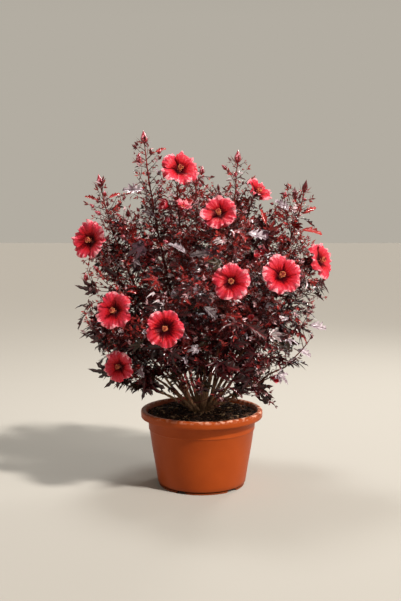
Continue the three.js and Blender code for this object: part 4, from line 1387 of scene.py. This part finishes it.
def makeBloom(opened, blush, draw):
    bm = bmesh.new()
    uvLayer = bm.loops.layers.uv.new("ownMap")
    radius = bloom["radius"]
    for k in range(petal["count"]):
        ray = math.radians(90 + 360 / petal["count"] * k + 10 * (draw() - 0.5))
        phases = [2 * math.pi * draw() for n in range(5)]
        reachOut = 0.99 + 0.08 * draw()
        lean = 8 * (draw() - 0.5)
        flush = blush + 0.1 * (draw() - 0.5)
        before = len(bm.faces)
        grid = bmesh.ops.create_grid(bm, x_segments=petal["steps"], y_segments=petal["columns"],
                                     size=0.5)["verts"]
        where = {}
        for vert in grid:
            u = mixed(petal["root"], 1, vert.co.x + 0.5)
            v = vert.co.y * 2
            fold = noise.noise(Vector((v * 1.8 + phases[0], u * 0.8, phases[4])))
            frill = noise.noise(Vector((v * 5.2 + phases[1], u * 1.6, phases[3])))
            notch = (1 - clamped(abs(fold) / petal["notchWidth"])) ** 1.4
            where[vert] = (u, v, notch, fold, frill)
            spread = math.radians(mixed(*petal["halfAngle"], clamped(u / 0.6)))
            edge = (-petal["cornerCut"] * abs(v) ** 2.6 - petal["notchCut"] * notch
                    + petal["frillCut"] * frill)
            reach = radius * u * reachOut * (1 + edge * u ** 3)
            angle = ray + v * spread
            folds = petal["foldHeight"] * u ** 3 * fold + petal["frillHeight"] * u ** 5 * frill
            ruffle = folds * (1 - 0.5 * v ** 4) - petal["notchDip"] * u ** 3 * notch
            crease = petal["creaseHeight"] * u * (1 - 0.5 * u)
            crease *= math.cos(petal["creases"] * v + 2 * math.sin(5 * u + phases[2]))
            height = -petal["throat"] + petal["rise"] * u ** 0.75 - petal["rollBack"] * u ** 5
            height += (v * petal["overlap"] + lean) * u ** 1.4 + ruffle + crease
            height += petal["belly"] * (1 - v * v) * u * (1 - u)
            height += (1 - opened) * petal["closing"] * u
            reach *= mixed(1 - petal["narrowing"] * u, 1, opened)
            vert.co = (reach * math.cos(angle), reach * math.sin(angle), height)
        for face in list(bm.faces)[before:]:
            u, v, notch, fold, frill = np.mean([where[vert] for vert in face.verts], axis=0)
            streak = 0.03 * math.cos(petal["creases"] * v + phases[1])
            # Painted light: the level rises on the crests of the folds and ruffles, which takes them to
            # the paler outer and rim colours as a painted highlight, and sinks in their hollows and
            # towards the petal's sides, where the petals overlap, as painted shade
            level = u + (streak + 0.07 * (draw() - 0.5)) * (0.5 + u)
            level += u ** 3 * (0.3 * fold + 0.6 * frill) - 0.2 * v ** 4 + 0.03 + flush
            face.material_index = int(sum(level > edge for edge in petal["zoneEdges"])) + 1
            for loop in face.loops:
                loop[uvLayer].uv = where[loop.vert][:2]
    done = set(bm.faces)

    def paint(zone):
        for face in bm.faces:
            if face not in done:
                face.material_index = zone
                done.add(face)

    bmesh.ops.create_cone(bm, cap_ends=True, segments=8, radius1=3.4, radius2=2.2, depth=30,
                          matrix=Matrix.Translation((0, 0, 7)))
    paint(heart["columnZone"])
    for k in range(heart["anthers"]):
        low = k < heart["lowAnthers"]
        angle = k * 2.4
        height = mixed(1, 11, k / heart["lowAnthers"]) if low else mixed(13, 18, draw())
        reach = mixed(5, 7, draw()) if low else mixed(6.4, 8.4, draw())
        way = Vector((math.cos(angle), math.sin(angle), 0.15))
        root = Vector((0, 0, height))
        turn = way.to_track_quat("Z", "Y").to_matrix().to_4x4()
        bmesh.ops.create_cone(bm, cap_ends=False, segments=3, radius1=0.4, radius2=0.3, depth=reach,
                              matrix=Matrix.Translation(root + way * reach / 2) @ turn)
        bmesh.ops.create_icosphere(bm, subdivisions=1, radius=heart["antherRadius"],
                                   matrix=Matrix.Translation(root + way * reach))
    paint(heart["antherZone"])
    for k in range(heart["stigmas"]):
        angle = k * 2 * math.pi / heart["stigmas"]
        tip = Vector((heart["stigmaReach"] * math.cos(angle), heart["stigmaReach"] * math.sin(angle),
                      heart["stigmaHeight"]))
        bmesh.ops.create_icosphere(bm, subdivisions=1, radius=heart["stigmaRadius"],
                                   matrix=Matrix.Translation(tip))
    paint(heart["stigmaZone"])
    bmesh.ops.create_cone(bm, cap_ends=True, segments=10, radius1=3.2, radius2=11, depth=16,
                          matrix=Matrix.Translation((0, 0, -14)))
    addRing(bm, heart["sepals"], 0, draw)
    addRing(bm, heart["bracts"], 0, draw)
    paint(heart["calyxZone"])
    return templateOf(bm)


draw = seeded(34, 7)
flatBlooms = 5
bloomTemplates = [makeBloom(1.0, 0.0, draw) for _ in range(flatBlooms)]
bloomTemplates += [makeBloom(1.0, -0.13, draw), makeBloom(0.78, 0.02, draw), makeBloom(0.55, 0.3, draw),
                   makeBloom(0.3, 0.1, draw)]
bloomKinds = {"deepRed": 5, "cupped": 6, "halfOpen": 7, "opening": 8}
draw = seeded(35, 1)


def addBloom(template, centre, faces, scale):
    spin = 2 * math.pi * draw()
    first = unit(np.cross(faces, (math.cos(spin), 0.3, math.sin(spin))))
    axes = np.array([first, np.cross(faces, first), faces]) * scale
    bloomSprays.append((template, axes, centre, 0))


# Small blooms are only opening, that of high_right is cupped, and those halfway up are deeper red
for k, stem in enumerate(bloomStems):
    kind = k % flatBlooms
    if stem["scale"] < 0.7:
        kind = bloomKinds["opening"]
    elif stem["name"] == "high_right":
        kind = bloomKinds["cupped"]
    elif 450 < stem["end"][2] < 580:
        kind = bloomKinds["deepRed"]
    addBloom(kind, stem["end"], stem["faces"], stem["scale"])
for place, faces, scale, opened in sideBlooms:
    faces = unit(faces)
    place = np.array(place, dtype=float)
    root = place - faces * 22 * scale
    shootTo(root, faces + up * 0.3, shoot["bloomRadius"], wood["wine"], False, draw)
    addBloom(bloomKinds["halfOpen" if opened > 0.5 else "opening"], place, faces, scale)
# Stems without a bloom end in a bud high up, and in a shoot low down
for stem in stems:
    if stem["faces"] is None:
        way = tangentAt(stem["line"], 1)
        tip = stem["line"][3]
        kind = 1 if stem["name"] == "right_shoulder" else 0
        if stem["end"][2] > 600:
            budSprays.append((kind, axesOf(way, (0, -1, 0), 1.15), tip - way * 4, kind))
        else:
            sprigSprays.append((2, axesOf(way, (0, -1, 0), 30), tip, 1))
print("templates shaped and blooms placed")


# The stems with the relief of their bark: ridges and scars low down, smoother above

# Old bark is corky and grey-brown, ripening bark smoother, and the young wood above is deep red
stemBark = [
    grained("old_hibiscus_bark", "#553829", "#a68262", 7, 0.85, 1.2, (1, 1, 0.25)),
    grained("ripening_bark", "#462319", "#80523d", 7, 0.75, 0.8, (1, 1, 0.25)),
    grained("dark_green_wood", "#3c0e0e", "#5e1a18", 9, 0.5, 0.4, (1, 1, 0.3)),
    grained("red_green_wood", "#5c120f", "#8c221c", 9, 0.5, 0.3, (1, 1, 0.3)),
]
bark = {
    "ringSpacing": 5.5, "sunk": 9, "footSwell": 1.25, "firstScar": (14, 26), "scarSpacing": (20, 36),
    "scarHalf": 3, "scarSwell": 0.2, "ridge": 0.7, "fleck": 0.4, "changes": (325, 450, 900),
}


def stemPath(stem, draw):
    count = int(stem["reach"] / bark["ringSpacing"])
    points = [stem["foot"] - tangentAt(stem["line"], 0) * bark["sunk"]]
    radii = [radiusAt(stem, 0) * bark["footSwell"]]
    scar = mixed(*bark["firstScar"], draw())
    for k in range(count + 1):
        t = k / count
        along = t * stem["reach"]
        swell = 0.0
        if along > scar - bark["scarHalf"]:
            swell = bark["scarSwell"] * mixed(1, 0.45, t)
            if along > scar + bark["scarHalf"]:
                scar += mixed(*bark["scarSpacing"], draw())
        points.append(stemPoint(stem, t))
        radii.append(radiusAt(stem, t) * (1 + swell))
    return points, radii, 0


def makeStems():
    mesh = tubesOf("stem_bark", [stemPath(stem, seeded(stem["index"], 900)) for stem in stems], 12)
    places = np.empty(len(mesh.vertices) * 3)
    mesh.vertices.foreach_get("co", places)
    places = places.reshape(-1, 3)
    ways = np.array([vert.normal[:] for vert in mesh.vertices])
    for number, (place, way) in enumerate(zip(places, ways)):
        height = place[2] * 1000
        rough = mixed(0.75, 0.12, clamped((height - 260) / 320))
        ridge = noise.noise(Vector((place[0] * 420, place[1] * 420, place[2] * 60)))
        fleck = noise.noise(Vector(place * 260))
        places[number] += way * (ridge * bark["ridge"] + fleck * bark["fleck"]) * rough * metre
    mesh.vertices.foreach_set("co", places.reshape(-1))
    for face in mesh.polygons:
        centre = face.center * 1000
        height = centre.z + 80 * noise.noise(centre * 0.012) + 26 * noise.noise(centre * 0.09)
        face.material_index = sum(height >= change for change in bark["changes"])
    mesh.update()
    addPiece("stem_bark", mesh, stemBark, ["stem_" + stem["name"] for stem in stems])
    print("stem_bark:", len(mesh.polygons), "faces")


# The root crown: a low disc with a flared foot, lumpy on top
def makeRootCrown():
    top = rootCrown["topRadius"]
    foot = rootCrown["footRadius"]
    bm = bmesh.new()
    spun(bm, [(0, crownTop), (14, crownTop), (26, crownTop - 0.6), (top - 5, crownTop - 1.8),
              (top, crownTop - 4), (foot - 1, crownFoot), (foot, crownFoot - 7), (0, crownFoot - 7)],
         rootCrown["turns"])
    bmesh.ops.subdivide_edges(bm, edges=bm.edges, cuts=1, use_grid_fill=True)
    for vert in bm.verts:
        if vert.co.z < crownFoot - 1:
            continue
        lump = 5.0 * noise.noise(vert.co * 0.05) + 1.6 * noise.noise(vert.co * 0.25) - 2
        vert.co += Vector((vert.co.x, vert.co.y, 0)).normalized() * lump
        vert.co.z += 3.2 * noise.noise(vert.co * 0.07) + 1.2 * noise.noise(vert.co * 0.24) - 0.6
    bmesh.ops.recalc_face_normals(bm, faces=bm.faces)
    mesh = meshOf(bm, "woody_crown")
    addPiece("woody_crown", mesh, [stemBark[0]], ["root_crown"])
    print("woody_crown:", len(mesh.polygons), "faces")


makeStems()
makeRootCrown()


# Twigs, leaves, shoots, buds and blooms, each kind joined

foliageNodes = ["foliage_" + stem["name"] for stem in stems]
# Smooth young wood with a slight sheen, redder the younger it is. All twigs show the first of these,
# for the reason given at tubesOf.
twigWood = [
    grained("dark_twig", "#3a1411", "#5c241c", 6, 0.55, 0.3),
    grained("wine_twig", "#741618", "#9c2a26", 6, 0.48, 0.3),
    grained("red_shoot", "#a41c1a", "#d04a3e", 6, 0.4, 0.2),
]
addPiece("twigs", tubesOf("twigs", twigPaths, 6), twigWood, foliageNodes)
addPiece("fine_twigs", tubesOf("fine_twigs", finePaths, 4), twigWood, foliageNodes)
print("twigs and fine twigs joined")

leafMaterials = [livingLeaf(*colours) for colours in leafColours]
leafMaterials.append(grained("leaf_stalk", "#6a1820", "#9a2c30", 5, 0.4, 0.2))
for name, sprays, templates in (("leaves_large", leafSprays, largeTemplates),
                                ("leaves_small", smallSprays, smallTemplates),
                                ("young_shoots", sprigSprays, sprigTemplates)):
    joinSprays(name, sprays, templates, leafMaterials, len(leafColours), foliageNodes)

sepal = livingLeaf("green_red_sepal", "#4a1219", "#742026", "#96383a", 0.42)
# Furled petals are waxier than open ones
budMaterials = [silkPetal("furled_petal", "#9c1a28", "#6a101c", 0.8),
                silkPetal("closed_bud", "#5e1418", "#3e0d10", 0.5), sepal,
                # The last is the pale pink painted highlight on the furled petals' ridges
                silkPetal("furled_ridge_painted_highlight", "#e08a98", "#c05a6c", 0.8)]
joinSprays("buds", budSprays, budTemplates, budMaterials, 2, foliageNodes)

# Zones of a petal from throat to rim: colour, veins, and where given its wax and gleam. The throat is
# velvety, nearly without gleam. The rim's pale pink is a painted highlight on the ruffles.
petalZones = [
    ("petal_throat", "#36040a", "#200206", 0, 0.03), ("petal_eye", "#56060e", "#3a0409", 0, 0.05),
    ("petal_eye_edge", "#860a13", "#5e060d", 0, 0.1), ("petal_inner", "#ba1420", "#8c0d17"),
    ("petal_middle", "#c42738", "#9a1825"), ("petal_outer", "#ce3b4e", "#a8283b"),
    ("petal_rim_painted_highlight", "#ee929c", "#d06272"),
]
bloomMaterials = [silkPetal(*colours) for colours in petalZones]
bloomMaterials += [
    grained("pink_column", "#b03038", "#cc5850", 4, 0.45, 0.2),
    grained("orange_pollen", "#d0683c", "#f0a274", 1.5, 0.8, 0.3),
    grained("red_stigma", "#7c1414", "#a4281e", 1.5, 0.6, 0.3),
    sepal,
]
# Zones of a bloom start at 1, and its spray colour isn't used, so they fall on materials 0 to 10
joinSprays("blooms", bloomSprays, bloomTemplates, bloomMaterials, 0, foliageNodes)

triangles = sum(sum(len(p.vertices) - 2 for p in o.data.polygons) for o in bpy.data.objects
                if o.type == "MESH" and not o.hide_render and o.name != "floor")
print("triangles shown:", triangles)
